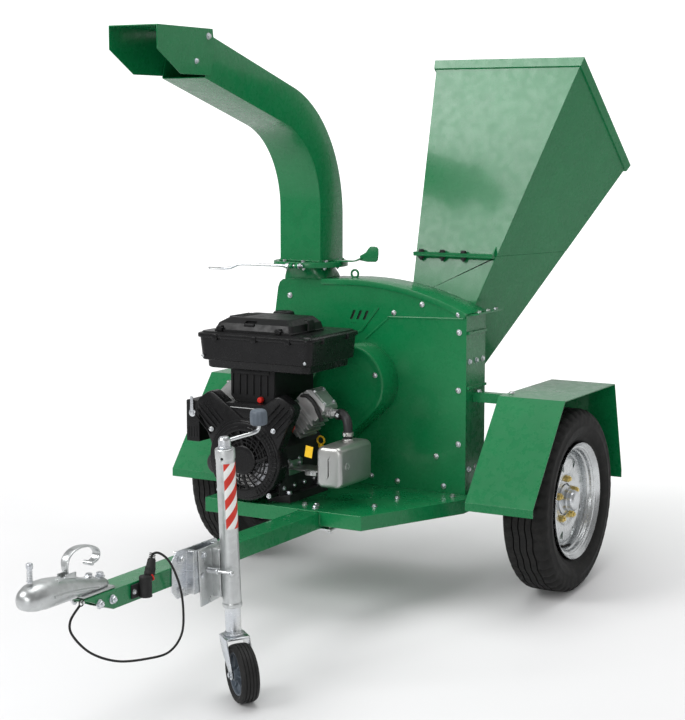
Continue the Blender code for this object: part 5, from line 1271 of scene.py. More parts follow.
put("breather_knob", turned((-0.185, -0.5480, 0.6180), (0, -1, 0), [(0.0090, -0.002), (0.0095, 0.0080), (0.0080, 0.0125)], 24, 0.0012, 3), RED, "chassis", M, (), sharp=40)

# ------------------------------------------------------- cylinders and covers
def cyl_side(sx, nm):
    """Finned barrel, fin blocks, head and rocker cover of one bank, built along its own axis."""
    cl0, cl1 = mbox("cylinder_" + nm)
    yc = -0.390 if sx < 0 else -0.430
    R = Matrix.Translation((CX, yc, CZ)) @ Matrix.Rotation(sx * radians(45), 4, 'Y')
    refine("cylinder_" + nm, ALU, 0.0009, 2, angle=30)
    ex = []
    # rocker cover: crowned lid with a rolled seam and a moulded panel
    t0 = CYL_TOP[nm]
    hw, hl = CYL_HW[nm]
    lps = []
    for ins, t, r in ((0.0, -0.0006, 0.012), (-0.0012, 0.0006, 0.013), (-0.0012, 0.0034, 0.013), (0.0010, 0.0046, 0.012), (0.0030, 0.0052, 0.011)):
        lps.append(rr_loop(-hw + ins, hw - ins, -hl + ins, hl - ins, t0 - 0.0130 + t, r))
    ex.append(turn(loft(lps), R))
    lps = []
    for ins, t, r in ((0.0070, -0.0008, 0.010), (0.0072, 0.0002, 0.010), (0.0082, 0.0009, 0.009), (0.0120, 0.0010, 0.007)):
        lps.append(rr_loop(-hw + ins, hw - ins, -hl + ins, hl - ins, t0 + t, r))
    ex.append(turn(loft(lps), R))
    put("rocker_cover_seams_" + nm, join(*ex), ALU, "chassis", M, (), sharp=34)
    b = []
    for a, c in ((-1, -1), (1, -1), (1, 1), (-1, 1)):
        p = R @ Vector((a * (hw - 0.009), c * (hl - 0.009), t0 - 0.0005))
        ax = R.to_3x3() @ Vector((0, 0, 1))
        b.append(hexhead(p, ax, 0.0098, 0.0050, True, a + c))
    put("rocker_cover_bolts_" + nm, join(*b), ZINC, "chassis", M, (), sharp=30)


CYL_TOP, CYL_HW = {}, {}
for nm, sx, yc in (("left", -1, -0.390), ("right", 1, -0.430)):
    inv = (Matrix.Translation((CX, yc, CZ)) @ Matrix.Rotation(sx * radians(45), 4, 'Y')).inverted()
    bmc = cad_bm("cylinder_" + nm)
    co = [inv @ v.co for v in bmc.verts]
    bmc.free()
    top = max(q.z for q in co)
    near = [q for q in co if q.z > top - 0.004]
    CYL_TOP[nm] = top
    CYL_HW[nm] = (max(abs(q.x) for q in near), max(abs(q.y) for q in near))
    cyl_side(sx, nm)

# ------------------------------------------------------- muffler and its pipe
m0, m1 = EN["muffler"]
MX0, MX1, MY0, MY1, MZ0, MZ1 = 0.012, 0.104, -0.560, -0.364, 0.366, 0.497


def can_loop(ins, y, n=7):
    """Rounded section of the silencer can."""
    r = 0.020
    x0, x1, z0, z1 = MX0 + ins, MX1 - ins, MZ0 + ins, MZ1 - ins
    r = max(0.006, r - ins * 0.3)
    out = []
    for cx, cz, st in ((x1 - r, z1 - r, 0), (x0 + r, z1 - r, 90), (x0 + r, z0 + r, 180), (x1 - r, z0 + r, 270)):
        for k in range(n + 1):
            a = radians(st + 90 * k / n)
            out.append((cx + r * cos(a), y, cz + r * sin(a)))
    return out


mid_y = (MY0 + MY1) / 2
lps = []
for ins, y in ((0.040, MY0 - 0.0004), (0.026, MY0 - 0.0002), (0.018, MY0 + 0.0004), (0.0120, MY0 + 0.0012), (0.0070, MY0 + 0.0034), (0.0040, MY0 + 0.0078), (0.0030, MY0 + 0.014),
               (0.0022, mid_y - 0.030), (0.0018, mid_y + 0.030),
               (0.0030, MY1 - 0.014), (0.0040, MY1 - 0.0078), (0.0070, MY1 - 0.0034), (0.0120, MY1 - 0.0010), (0.0300, MY1 - 0.0006)):
    lps.append(can_loop(ins, y))
can = loft(lps)
emb = lathe((MX1 - 0.0032, -0.520, (MZ0 + MZ1) / 2 + 0.002), (1, 0, 0), [(0.0105 + 0.0012 * cos(2 * pi * k / 10), 0.0012 * sin(2 * pi * k / 10) + 0.0004) for k in range(10)], 40, closed=True)
emb2 = turned((MX1 - 0.0040, -0.520, (MZ0 + MZ1) / 2 + 0.002), (1, 0, 0), [(0.0060, 0.0), (0.0056, 0.0014), (0.0030, 0.0020)], 24, 0.0004, 2)
sw = []
pipe = rod([(0.058, -0.440, 0.4880), (0.058, -0.440, 0.520), (0.0572, -0.4394, 0.541), (0.050, -0.4335, 0.5585), (0.036, -0.4240, 0.5690), (0.0200, -0.4200, 0.5735)], 0.0140, 28, 5)
col = [turned((0.058, -0.440, 0.0), (0, 0, 1), [(0.0185, 0.4935), (0.0185, 0.5000), (0.0160, 0.5030)], 36, 0.0010, 3),
       lathe((0.058, -0.440, 0.5170), (0, 0, 1), soften([(0.0142, -0.0060), (0.0166, -0.0060), (0.0166, 0.0060), (0.0142, 0.0060), (0.0142, -0.0060)], 0.0006, 2)[:-1], 40, closed=True),
       rod([(0.058, -0.4600, 0.5170), (0.058, -0.4530, 0.5170)], 0.0050, 14)]
fl = prism('x', [(-0.4460 + 0.0 * k + 0.026 * cos(2 * pi * k / 28) * (1.0 if abs(cos(2 * pi * k / 28)) < 0.5 else 1.25), 0.5715 + 0.0175 * sin(2 * pi * k / 28)) for k in range(28)], 0.0160, 0.0215, 0.0008, 2)
for v in fl.verts:
    v.co.y += 0.026
brk = join(rbox(-0.1180, 0.0200, -0.500, -0.420, 0.4000, 0.4040, 0.0010, 2), rbox(-0.1195, -0.1157, -0.500, -0.420, 0.3800, 0.4250, 0.0010, 2),
           rbox(-0.060, -0.020, -0.500, -0.496, 0.3880, 0.4040, 0.0010, 2))
put("muffler_pipe", join(pipe, fl), IRON, "chassis", M, (), sharp=34)
put("muffler_can", join(can, emb, emb2, *sw, *col, brk), MUFF, "chassis", M, ("muffler",), sharp=34)
b = [hexhead((0.058, -0.4605, 0.5170), (0, -1, 0), 0.0095, 0.0050, False, 0.2), hexhead((0.0215, -0.4445, 0.5715), (1, 0, 0), 0.0105, 0.0055, True, 0.1), hexhead((0.0215, -0.3955, 0.5715), (1, 0, 0), 0.0105, 0.0055, True, 0.6),
     hexhead((-0.1156, -0.485, 0.4120), (1, 0, 0), 0.0115, 0.0055, True, 0.3), hexhead((-0.1156, -0.437, 0.4120), (1, 0, 0), 0.0115, 0.0055, True, 0.7), hexhead((-0.036, -0.5003, 0.3955), (0, -1, 0), 0.0095, 0.0045, True, 0.7)]
put("muffler_bolts", join(*b), ZINC, "chassis", M, (), sharp=30)
put("hang_tag", turn(rbox(-0.013, 0.013, -0.0006, 0.0006, -0.0175, 0.0175, 0.0005, 1), Matrix.Translation((-0.012, -0.5560, 0.474)) @ Matrix.Rotation(radians(9), 4, 'Y')), YELLOW, "chassis", M, (), sharp=34)

# ------------------------------------------------------------- starter motor
sm = [turned((-0.368, -0.440, 0.400), (0, 1, 0), [(0.0150, -0.0960), (0.0160, -0.0930), (0.0300, -0.0900), (0.0345, -0.0860), (0.0352, -0.0740), (0.0360, -0.0720), (0.0360, -0.0690), (0.0350, -0.0670), (0.0350, 0.0360), (0.0360, 0.0380), (0.0360, 0.0460), (0.0300, 0.0500), (0.0290, 0.0700)], 56, 0.0012, 3),
      turned((-0.352, -0.440, 0.442), (0, 1, 0), [(0.0110, -0.0740), (0.0150, -0.0700), (0.0160, -0.0660), (0.0160, 0.0340), (0.0140, 0.0400)], 40, 0.0010, 3),
      rbox(-0.3420, -0.3203, -0.470, -0.430, 0.380, 0.420, 0.0020, 2)]
for s_ in (-1, 1):
    sm.append(rod([(-0.368 + s_ * 0.0290, -0.5290, 0.400), (-0.368 + s_ * 0.0290, -0.400, 0.400)], 0.0026, 12))
put("starter_body", join(*sm), IRON, "chassis", M, ("starter_motor",), sharp=36)
put("starter_terminals", join(nut((-0.352, -0.5142, 0.449), (0, -1, 0), 0.010, 0.0050, 0.006), nut((-0.352, -0.5142, 0.434), (0, -1, 0), 0.010, 0.0050, 0.006)), BRASS, "chassis", M, (), sharp=30)

# --------------------------------------------------- control box and throttle
cbm = cad_bm("control_box")
refine("control_box", BLACK, 0.0050, 3, angle=20, bm=cbm)
cb_x = [rbox(-0.4520, -0.4120, -0.5614, -0.5596, 0.5430, 0.5470, 0.0006, 1), rbox(-0.4520, -0.4120, -0.5614, -0.5596, 0.5300, 0.5330, 0.0006, 1)]
for k in range(4):
    cb_x.append(rbox(-0.4500 + 0.010 * k, -0.4460 + 0.010 * k, -0.5616, -0.5596, 0.4840, 0.5180, 0.0008, 2))
cb_x.append(turned((-0.4300, -0.5602, 0.5900), (0, -1, 0), [(0.0070, -0.001), (0.0070, 0.0020), (0.0050, 0.0035)], 24, 0.0005, 2))
put("control_box_trim", join(*cb_x), BLACK, "chassis", M, (), sharp=34)
lv = [turned((-0.432, -0.5608, 0.560), (0, -1, 0), [(0.0120, 0.0), (0.0120, 0.0026), (0.0080, 0.0032), (0.0076, 0.0056)], 32, 0.0005, 2),
      ribbon([(-0.432, -0.5643, 0.560), (-0.432, -0.5643, 0.582), (-0.4322, -0.5640, 0.598), (-0.4326, -0.5640, 0.612)], lambda f: 0.0125 - 0.0030 * f, 0.0030, (1, 0, 0), 6, 0.0005)]
put("throttle_arm", join(*lv), ZINC, "throttle", M, ("throttle_lever",), sharp=34)

# ------------------------------------------------------------------ dipstick
ds = [rod([(-0.100, -0.335, 0.3550), (-0.100, -0.335, 0.4500)], 0.0026, 12),
      turned((-0.100, -0.335, 0.0), (0, 0, 1), [(0.0080, 0.4447), (0.0085, 0.4462), (0.0085, 0.4520), (0.0070, 0.4540), (0.0040, 0.4562)], 28, 0.0006, 2),
      lathe((-0.100, -0.335, 0.467), (0, 1, 0), [(0.0125 + 0.0028 * cos(2 * pi * k / 12), 0.0034 * sin(2 * pi * k / 12)) for k in range(12)], 40, closed=True)]
put("dipstick_ring", join(*ds), YELLOW, "oil_dipstick", M, ("dipstick",), sharp=40)

# ------------------------------------------------------------ hoses and wires
hz_ = [rod([(-0.092, -0.470, 0.6260), (-0.064, -0.480, 0.6300), (-0.036, -0.486, 0.6120), (-0.022, -0.482, 0.5800), (-0.014, -0.474, 0.5560)], 0.0062, 16, 6)]
put("breather_hose", join(*hz_), RUBBER, "chassis", M, (), sharp=50)
wr = [rod([(-0.110, -0.510, 0.6020), (-0.086, -0.535, 0.6000), (-0.074, -0.5440, 0.5760), (-0.070, -0.5440, 0.5500), (-0.082, -0.5380, 0.5260)], 0.0024, 10, 6)]
put("red_lead", join(*wr), RED, "chassis", M, (), sharp=50)
wk = [rod([(-0.352, -0.5220, 0.4490), (-0.352, -0.5350, 0.4520), (-0.364, -0.5400, 0.4700), (-0.380, -0.5300, 0.4900), (-0.404, -0.510, 0.5000)], 0.0036, 12, 6),
      rod([(-0.352, -0.5220, 0.4340), (-0.350, -0.5360, 0.4300), (-0.340, -0.5380, 0.4000), (-0.336, -0.5200, 0.3700), (-0.340, -0.490, 0.3300)], 0.0042, 12, 6),
      rod([(-0.408, -0.500, 0.5600), (-0.380, -0.520, 0.5750), (-0.340, -0.525, 0.5600)], 0.0036, 12, 6)]
put("starter_leads", join(*wk), RUBBER, "chassis", M, (), sharp=50)
el = [rod([(-0.060, -0.4300, 0.5620), (-0.036, -0.4280, 0.5720), (-0.010, -0.4230, 0.5735), (0.018, -0.4200, 0.5735)], 0.0135, 24, 5),
      turned((-0.012, -0.4230, 0.5735), (1, 0, 0), [(0.0175, 0.0), (0.0175, 0.0055)], 32, 0.0008, 2)]
put("exhaust_elbow", join(*el), ALU, "chassis", M, (), sharp=40)

# ------------------------------------------------------------------- coupling
def hand_loops(rows, n=18, p=2.6):
    """Closed sections of (y, half width, z low, z high), squarish ovals."""
    out = []
    for y, hw, z0, z1 in rows:
        cz, hh = (z0 + z1) / 2, (z1 - z0) / 2
        lp = []
        for k in range(n * 2):
            a = 2 * pi * k / (n * 2)
            c, s = cos(a), sin(a)
            m = (abs(c) ** p + abs(s) ** p) ** (-1 / p)
            w = hw * (1.0 if s < 0.2 else 1.0 - 0.22 * (s - 0.2) / 0.8)
            lp.append((w * c * m, y, cz + hh * s * m))
        out.append(lp)
    return out


SKZ = BAR_T + 0.0003
nose = loft(hand_loops([(-1.5900, 0.0180, 0.3010, 0.3240), (-1.5920, 0.0245, 0.3004, 0.3262), (-1.6200, 0.0290, 0.3000, 0.3300), (-1.6700, 0.0310, 0.2996, 0.3420), (-1.7200, 0.0335, 0.2992, 0.3560),
                        (-1.7600, 0.0365, 0.2992, 0.3640), (-1.8000, 0.0395, 0.2996, 0.3692), (-1.8350, 0.0400, 0.3000, 0.3700), (-1.8600, 0.0365, 0.3020, 0.3672), (-1.8780, 0.0300, 0.3060, 0.3605), (-1.8890, 0.0220, 0.3110, 0.3530),
                        (-1.8940, 0.0120, 0.3170, 0.3460), (-1.8955, 0.0040, 0.3240, 0.3390)]))
cuts = [lathe((0, -1.845, 0.3180), (0, 0, 1), [(0.0, 0.0260), (0.0070, 0.0250), (0.0130, 0.0225), (0.0185, 0.0183), (0.0225, 0.0130), (0.0250, 0.0070), (0.0260, 0.0), (0.0260, -0.05), (0.0, -0.05)], 48),
        rbox(-0.014, 0.014, -1.8245, -1.7595, 0.28, 0.3480, 0.002, 2), rbox(-0.0100, 0.0100, -1.760, -1.690, 0.3320, 0.40, 0.003, 2)]
nose = from_bm_boolean(nose, cuts)
tail = [rbox(-0.0320, 0.0320, -1.7000, -1.5750, SKZ, BAR_T + 0.0080, 0.0022, 3)]
for s in (-1, 1):                                # pressed strengthening beads along the flanks
    tail.append(rod([(s * 0.0300, -1.640, 0.3120), (s * 0.0345, -1.700, 0.3220), (s * 0.0385, -1.770, 0.3300), (s * 0.0395, -1.820, 0.3320)], 0.0034, 12, 6))
    tail.append(rbox(s * 0.0120 - 0.0022, s * 0.0120 + 0.0022, -1.7450, -1.7050, 0.3450, 0.3660, 0.0010, 2))
put("coupling_casting", join(nose, *tail), GALV, "chassis", M, ("coupling_body",), sharp=40)
b = []
for y in (-1.6400, -1.5950):
    b.append(hexhead((0.0, y, (0.3345 if y < -1.62 else 0.3275)), (0, 0, 1), 0.0170, 0.0090, True, y * 7))
for y in (-1.6480, -1.5960):
    b.append(nut((BAR_H + 0.0002, y, 0.2740), (1, 0, 0), 0.0165, 0.0085, 0.0070))
    b.append(hexhead((-BAR_H - 0.0002, y, 0.2740), (-1, 0, 0), 0.0165, 0.0085, True, 0.4))
put("coupling_bolts", join(*b), ZINC, "chassis", M, (), sharp=30)
# pressed-strap handle, its pivot and the folded grip
hp = Vector((0.0, -1.725, 0.3480))
strap = ribbon([(0, -1.7250, 0.3500), (0, -1.7300, 0.3700), (0, -1.7315, 0.3860), (0, -1.7265, 0.4020), (0, -1.7100, 0.4140), (0, -1.6880, 0.4195), (0, -1.6620, 0.4190), (0, -1.6360, 0.4140), (0, -1.6160, 0.4040), (0, -1.6075, 0.3910),
                (0, -1.6130, 0.3780), (0, -1.6260, 0.3725), (0, -1.6420, 0.3720)], lambda f: 0.0150 + 0.0085 * min(1.0, f * 5), 0.0042, (1, 0, 0), 8, 0.0012, 0.0012)
grip = rod([(-0.0135, -1.6400, 0.3722), (0.0135, -1.6400, 0.3722)], 0.0058, 20)
piv = join(turned(hp, (1, 0, 0), [(0.0090, -0.0092), (0.0105, -0.0080), (0.0105, 0.0080), (0.0090, 0.0092)], 36, 0.0008, 2))
put("coupling_strap", join(strap, grip, piv), GALV, "coupling_lever", M, ("coupling_handle",), sharp=36)
jw = from_bm_boolean(rbox(-0.0125, 0.0125, -1.8170, -1.7640, 0.3035, 0.3350, 0.0022, 3), [lathe((0, -1.845, 0.3180), (0, 0, 1), [(0.0, -0.04), (0.0285, -0.04), (0.0285, 0.04), (0.0, 0.04)], 48)])
put("coupling_pawl", jw, GALV, "ball_clamp", M, ("coupling_jaw",), sharp=36)
tp = Vector((0.0, -1.862, 0.3700))
tr = [turned(tp, (0, 0, 1), [(0.0060, 0.0003), (0.0060, 0.0340), (0.0080, 0.0358), (0.0085, 0.0375), (0.0085, 0.0470), (0.0060, 0.0500)], 32, 0.0010, 3),
      lathe(tp, (0, 0, 1), [(0.0074 + 0.0010 * cos(2 * pi * k / 8), 0.0060 + 0.0010 * sin(2 * pi * k / 8)) for k in range(8)], 32, closed=True)]
for k in range(6):
    tr.append(lathe(tp, (0, 0, 1), [(0.0064 + 0.0009 * cos(2 * pi * j / 8), 0.0100 + 0.0038 * k + 0.0009 * sin(2 * pi * j / 8)) for j in range(8)], 28, closed=True))
put("coupling_catch_pin", join(*tr), ZINC, "coupling_catch", M, ("coupling_trigger",), sharp=40)

# ------------------------------------------------ trailer plug, holder, cable
pc = Vector((0.0560, -1.480, 0.255))
pd = Vector((0, 0.30, 1)).normalized()
pl = [rbox(BAR_H + 0.0003, BAR_H + 0.0060, -1.520, -1.440, 0.256, 0.292, 0.0018, 2),
      turned(pc, (0, 0, 1), [(0.0150, 0.0), (0.0170, 0.0015), (0.0170, 0.0040), (0.0160, 0.0050), (0.0160, 0.0420), (0.0170, 0.0430), (0.0172, 0.0520), (0.0160, 0.0550)], 48, 0.0008, 2)]
pp = turned(pc, pd, [(0.0125, 0.0480), (0.0130, 0.0560), (0.0142, 0.0580), (0.0142, 0.0640), (0.0130, 0.0660), (0.0130, 0.0760), (0.0120, 0.0800), (0.0105, 0.0960), (0.0070, 0.0980)], 48, 0.0008, 2)
fx, fy_, fz = frame_of(pd)
flut = []
for k in range(16):
    a = 2 * pi * k / 16
    u = fx * cos(a) + fy_ * sin(a)
    flut.append(rod([pc + pd * 0.0665 + u * 0.0128, pc + pd * 0.0755 + u * 0.0128], 0.0011, 8))
for k in range(4):
    flut.append(lathe(pc, pd, [(0.0076 - 0.0003 * k + 0.0016 * cos(2 * pi * j / 8), 0.0985 + 0.0042 * k + 0.0014 * sin(2 * pi * j / 8)) for j in range(8)], 28, closed=True))
put("plug_and_socket", join(*pl, pp, *flut), RUBBER, "chassis", M, ("trailer_plug_and_cable",), sharp=36)
lidp = [turned(pc + Vector((0.0, 0.0155, 0.0500)), (0.25, 0.85, 0.5), [(0.0145, 0.0), (0.0155, 0.0010), (0.0155, 0.0040), (0.0120, 0.0055)], 36, 0.0008, 2), rbox(pc.x - 0.006, pc.x + 0.006, -1.4675, -1.4600, 0.296, 0.312, 0.0012, 2)]
put("socket_flap", join(*lidp), RED, "chassis", M, (), sharp=36)
knots = [(0.0566, -1.4660, 0.3180), (0.057, -1.4600, 0.3400), (0.058, -1.4500, 0.3600), (0.062, -1.425, 0.3570), (0.064, -1.385, 0.325), (0.064, -1.345, 0.260), (0.062, -1.325, 0.190), (0.060, -1.330, 0.120),
         (0.058, -1.385, 0.085), (0.056, -1.480, 0.092), (0.054, -1.600, 0.118), (0.050, -1.700, 0.165), (0.047, -1.765, 0.225), (0.046, -1.772, 0.262), (0.046, -1.735, 0.292)]
put("breakaway_cable", join(rod(knots, 0.0031, 14, 9), lathe((0.046, -1.7280, 0.2980), (1, 0, 0), [(0.0085 + 0.0016 * cos(2 * pi * k / 10), 0.0016 * sin(2 * pi * k / 10)) for k in range(10)], 32, closed=True)), RUBBER, "chassis", M, (), sharp=60)
b = [hexhead((BAR_H + 0.0061, y, 0.274), (1, 0, 0), 0.0095, 0.0045, True, y) for y in (-1.512, -1.448)]
b.append(rod([(0.0400, -1.728, 0.2985), (0.0540, -1.728, 0.2985)], 0.0034, 12))
put("plug_screws", join(*b), ZINC, "chassis", M, (), sharp=30)

# --------------------------------------------------------------- jockey stand
refine("jockey_bracket", ZINC, 0.0012, 2)
b = []
for y, z in ((-1.310, 0.232), (-1.310, 0.314), (-1.140, 0.232), (-1.140, 0.308)):
    b.append(nut((BAR_H + 0.0056, y, z), (1, 0, 0), 0.0150, 0.0080, 0.0060))
b.append(hexhead((0.0664, -1.2480, 0.2600), (1, 0, 0), 0.0150, 0.0080, True, 0.4))
b.append(rod([(-BAR_H - 0.004, -1.216, BAR_T + 0.0048), (BAR_H + 0.003, -1.216, BAR_T + 0.0048)], 0.0042, 14))
put("jockey_bracket_nuts", join(*b), ZINC, "chassis", M, (), sharp=30)

to0, to1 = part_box("jockey_outer_tube")
JX_ = (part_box("jockey_inner_tube")[0].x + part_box("jockey_inner_tube")[1].x) / 2
YS = UP.translation.y
JY_ = (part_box("jockey_inner_tube")[0].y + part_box("jockey_inner_tube")[1].y) / 2 - YS
JT, JB = to1.z, 0.2495
PZ = JT - 0.686 + 0.3651
c = (JX_, JY_, 0)
prof = [(0.0228, JB), (0.0262, JB), (0.0268, JB + 0.0020), (0.0268, JB + 0.0100), (0.0258, JB + 0.0120), (0.0255, JB + 0.0140), (0.0255, JT - 0.0300), (0.0262, JT - 0.0285), (0.0268, JT - 0.0265), (0.0268, JT - 0.0030), (0.0250, JT - 0.0003),
        (0.0080, JT), (0.0075, JT - 0.0010), (0.0075, JT - 0.0030), (0.0228, JT - 0.0040)]
outer = lathe(c, (0, 0, 1), soften(prof + [prof[0]], 0.0010, 2)[:-1], 72, closed=True)
hole_dir = Vector((0.25, -1.0, 0.0)).normalized()
hole = lathe(Vector(c) + Vector((0, 0, JT - 0.0240)), hole_dir, [(0.0, 0.010), (0.0038, 0.010), (0.0038, 0.04), (0.0, 0.04)], 24)
outer = from_bm_boolean(outer, [hole])
put("jockey_tube", outer, GALV, "jockey_mast", UP, ("jockey_outer_tube",), sharp=40)
pw = [rbox(0.0665, 0.0715, JY_ - 0.074, JY_ + 0.052, PZ - 0.103, PZ + 0.053, 0.0016, 2), rbox(0.0700, 0.0975, JY_ - 0.016, JY_ + 0.016, PZ - 0.090, PZ + 0.045, 0.0022, 2)]
for z in (PZ - 0.088, PZ + 0.043):
    pw.append(rod([(0.0960, JY_ - 0.0165, z - 0.000), (0.0990, JY_ - 0.0150, z), (0.0975, JY_ + 0.0150, z)], 0.0020, 8))
for s in (-1, 1):
    pw.append(bead([(0.0968, JY_ + s * 0.0168, PZ - 0.088), (0.0968, JY_ + s * 0.0168, PZ + 0.043)], 0.0024))
put("jockey_swing_plate", join(*pw), GALV, "jockey_mast", UP, (), sharp=36)
b = [hexhead((0.0716, JY_ + 0.036, PZ + 0.032), (1, 0, 0), 0.0135, 0.0065, True, 0.3), hexhead((0.0716, JY_ + 0.036, PZ - 0.082), (1, 0, 0), 0.0135, 0.0065, True, 0.6), hexhead((0.0716, JY_ - 0.055, PZ + 0.036), (1, 0, 0), 0.0135, 0.0065, True, 0.9)]
put("jockey_swing_bolts", join(*b), ZINC, "jockey_mast", UP, (), sharp=30)

# diagonal red and white banding: a helical film on the camera's side of the tube
def band(z0, z1, r, a0, a1, pitch, width, slope, phase):
    """Sheared strips round part of a tube, trimmed level at z0 and z1."""
    out = []
    m = 40
    k = -8
    while True:
        base = z0 + phase + k * pitch
        k += 1
        if base > z1 + 0.1:
            break
        rows_o, rows_i = [], []
        for i in range(m + 1):
            a = a0 + (a1 - a0) * i / m
            rise = slope * r * (a - a0)
            lo_, hi_ = max(z0, min(z1, base + rise)), max(z0, min(z1, base + rise + width))
            rows_o.append((a, lo_, hi_))
        live = [q for q in rows_o if q[2] - q[1] > 2e-5]
        if len(live) < 2:
            continue
        lps = []
        for a, lo_, hi_ in live:
            ca, sa = cos(a), sin(a)
            lps.append([(JX_ + (r - 0.0004) * ca, JY_ + (r - 0.0004) * sa, lo_), (JX_ + r * ca, JY_ + r * sa, lo_), (JX_ + r * ca, JY_ + r * sa, hi_), (JX_ + (r - 0.0004) * ca, JY_ + (r - 0.0004) * sa, hi_)])
        out.append(loft(lps))
    return join(*out)


A0, A1 = radians(-70), radians(42)
TZ0, TZ1 = 0.469, 0.648
put("tape_white", band(TZ0, TZ1, 0.02585, A0, A1, 1.0, 0.9, 0.0, -0.2), TAPE_W, "jockey_mast", UP, (), sharp=50, weld=False)
put("tape_red", band(TZ0, TZ1, 0.02600, A0, A1, 0.0525, 0.0275, 1.15, 0.0), TAPE_R, "jockey_mast", UP, (), sharp=50, weld=False)

# pull pin: barrel with coils, stem, ball end
py, pz = JY_ - 0.041, PZ - 0.009
pn = [turned((0, py, pz), (1, 0, 0), [(0.0080, 0.0720), (0.0085, 0.0735), (0.0085, 0.0790), (0.0066, 0.0800), (0.0066, 0.1030), (0.0085, 0.1040), (0.0085, 0.1070), (0.0050, 0.1080)], 32, 0.0005, 2),
      rod([(0.0720, py, pz), (0.1450, py, pz)], 0.0040, 16),
      lathe((0.1500, py, pz), (1, 0, 0), [(0.0, -0.0072)] + [(0.0074 * sin(pi * k / 14), -0.0072 * cos(pi * k / 14)) for k in range(1, 14)] + [(0.0, 0.0072)], 28)]
coil = [(0.0802 + 0.0226 * k / 96, py + 0.0072 * cos(2 * pi * k / 12), pz + 0.0072 * sin(2 * pi * k / 12)) for k in range(97)]
pn.append(rod(coil, 0.0011, 8))
put("jockey_pull_pin", join(*pn), ZINC, "jockey_lock_pin", UP, ("jockey_pin",), sharp=40)

itp = [(0.0170, 0.1725), (0.0215, 0.1725), (0.0215, 0.4195), (0.0208, 0.4200), (0.0170, 0.4200)]
leg = join(lathe(c, (0, 0, 1), soften(itp + [itp[0]], 0.0005, 2)[:-1], 64, closed=True),
           turned(c, (0, 0, 1), [(0.0260, 0.1705), (0.0270, 0.1715), (0.0270, 0.1755), (0.0255, 0.1765)], 56, 0.0006, 2), bead([(JX_ + 0.0225 * cos(2 * pi * k / 20), JY_ + 0.0225 * sin(2 * pi * k / 20), 0.1775) for k in range(21)], 0.0020))
put("jockey_leg_tube", leg, ZINC, "jockey_leg", UP, ("jockey_inner_tube",), sharp=40)

tdv = Vector((0.783, -0.622, 0)).normalized()
wdv = Vector((-tdv.y, tdv.x, 0))
TRAIL, WR = 0.060, 0.080


def jq(a, b_, z):
    q = Vector((JX_, JY_, 0)) + tdv * a + wdv * b_
    return Vector((q.x, q.y, z))


jwc = jq(TRAIL, 0, WR)
crown = []
for ins, z in ((0.0020, 0.1640), (0.0, 0.1648), (0.0, 0.1690), (0.0014, 0.1702), (0.0090, 0.1704)):
    lp = []
    for a, b_ in ((0.038 - 0.006 - ins, 0.0345 - ins), (0.038 - ins, 0.0345 - 0.006 - ins), (0.038 - ins, -0.0345 + 0.006 + ins), (0.038 - 0.006 - ins, -0.0345 + ins), (-0.026 + 0.006 + ins, -0.0345 + ins), (-0.026 + ins, -0.0345 + 0.006 + ins), (-0.026 + ins, 0.0345 - 0.006 - ins), (-0.026 + 0.006 + ins, 0.0345 - ins)):
        lp.append(jq(a, b_, z))
    crown.append(lp)
fork = [loft(crown)]
for sgn in (-1, 1):
    pr_ = catmull([(-0.0240, 0.1685, 0), (-0.0225, 0.1560, 0), (-0.0080, 0.1300, 0), (0.0180, 0.1050, 0), (0.0390, 0.0870, 0), (0.0460, 0.0760, 0)], 4)
    pr_ += [Vector((TRAIL + 0.0130 * cos(a), 0.0800 - 0.0005 + 0.0140 * sin(a), 0)) for a in [radians(200 + 200 * k / 10) for k in range(11)]]
    pr_ += catmull([(TRAIL + 0.0100, 0.0930, 0), (0.0610, 0.1150, 0), (0.0480, 0.1420, 0), (0.0380, 0.1600, 0), (0.0360, 0.1685, 0)], 4)
    lps = [[jq(q.x, sgn * b_, q.y) for q in pr_] for b_ in (0.0303, 0.0337)]
    fork.append(round_edges(loft(lps), 0.0007, 2, 60))
fork.append(rod([jq(TRAIL, -0.0360, WR), jq(TRAIL, 0.0360, WR)], 0.0048, 20))
put("jockey_fork_pressed", join(*fork), ZINC, "jockey_caster", UP, ("jockey_fork",), sharp=34)
put("jockey_axle_nuts", join(hexhead(jq(TRAIL, 0.0338, WR), wdv, 0.0130, 0.0052, True, 0.2), hexhead(jq(TRAIL, -0.0338, WR), -wdv, 0.0130, 0.0052, True, 0.5),
                             turned(c, (0, 0, 1), [(0.0120, 0.1606), (0.0120, 0.1642)], 28, 0.0008, 2)), ZINC, "jockey_caster", UP, (), sharp=30)
tyre = [(0.0583, -0.0195), (0.0600, -0.0215), (0.0640, -0.0240), (0.0672, -0.0258), (0.0700, -0.0257), (0.0712, -0.0247), (0.0722, -0.0250), (0.0752, -0.0238), (0.0778, -0.0205), (0.0792, -0.0168),
        (0.0792, -0.0150), (0.0772, -0.0145), (0.0772, -0.0130), (0.0796, -0.0124), (0.0799, -0.0062), (0.0776, -0.0056), (0.0776, -0.0040), (0.0800, -0.0034)]
tyre = tyre + [(r, -t) for r, t in tyre[::-1]]
put("jockey_tyre", lathe(jwc, wdv, tyre, 96, closed=True), RUBBER, "jockey_wheel", UP, ("jockey_wheel_tyre",), sharp=34)
rimp = [(0.0064, -0.0270), (0.0150, -0.0270), (0.0165, -0.0255), (0.0175, -0.0110), (0.0230, -0.0090), (0.0480, -0.0085), (0.0520, -0.0110), (0.0532, -0.0190), (0.0545, -0.0200), (0.0580, -0.0200)]
rimp = rimp + [(r, -t) for r, t in rimp[::-1]]
rim = lathe(jwc, wdv, rimp, 72, closed=True)
ribs_j = []
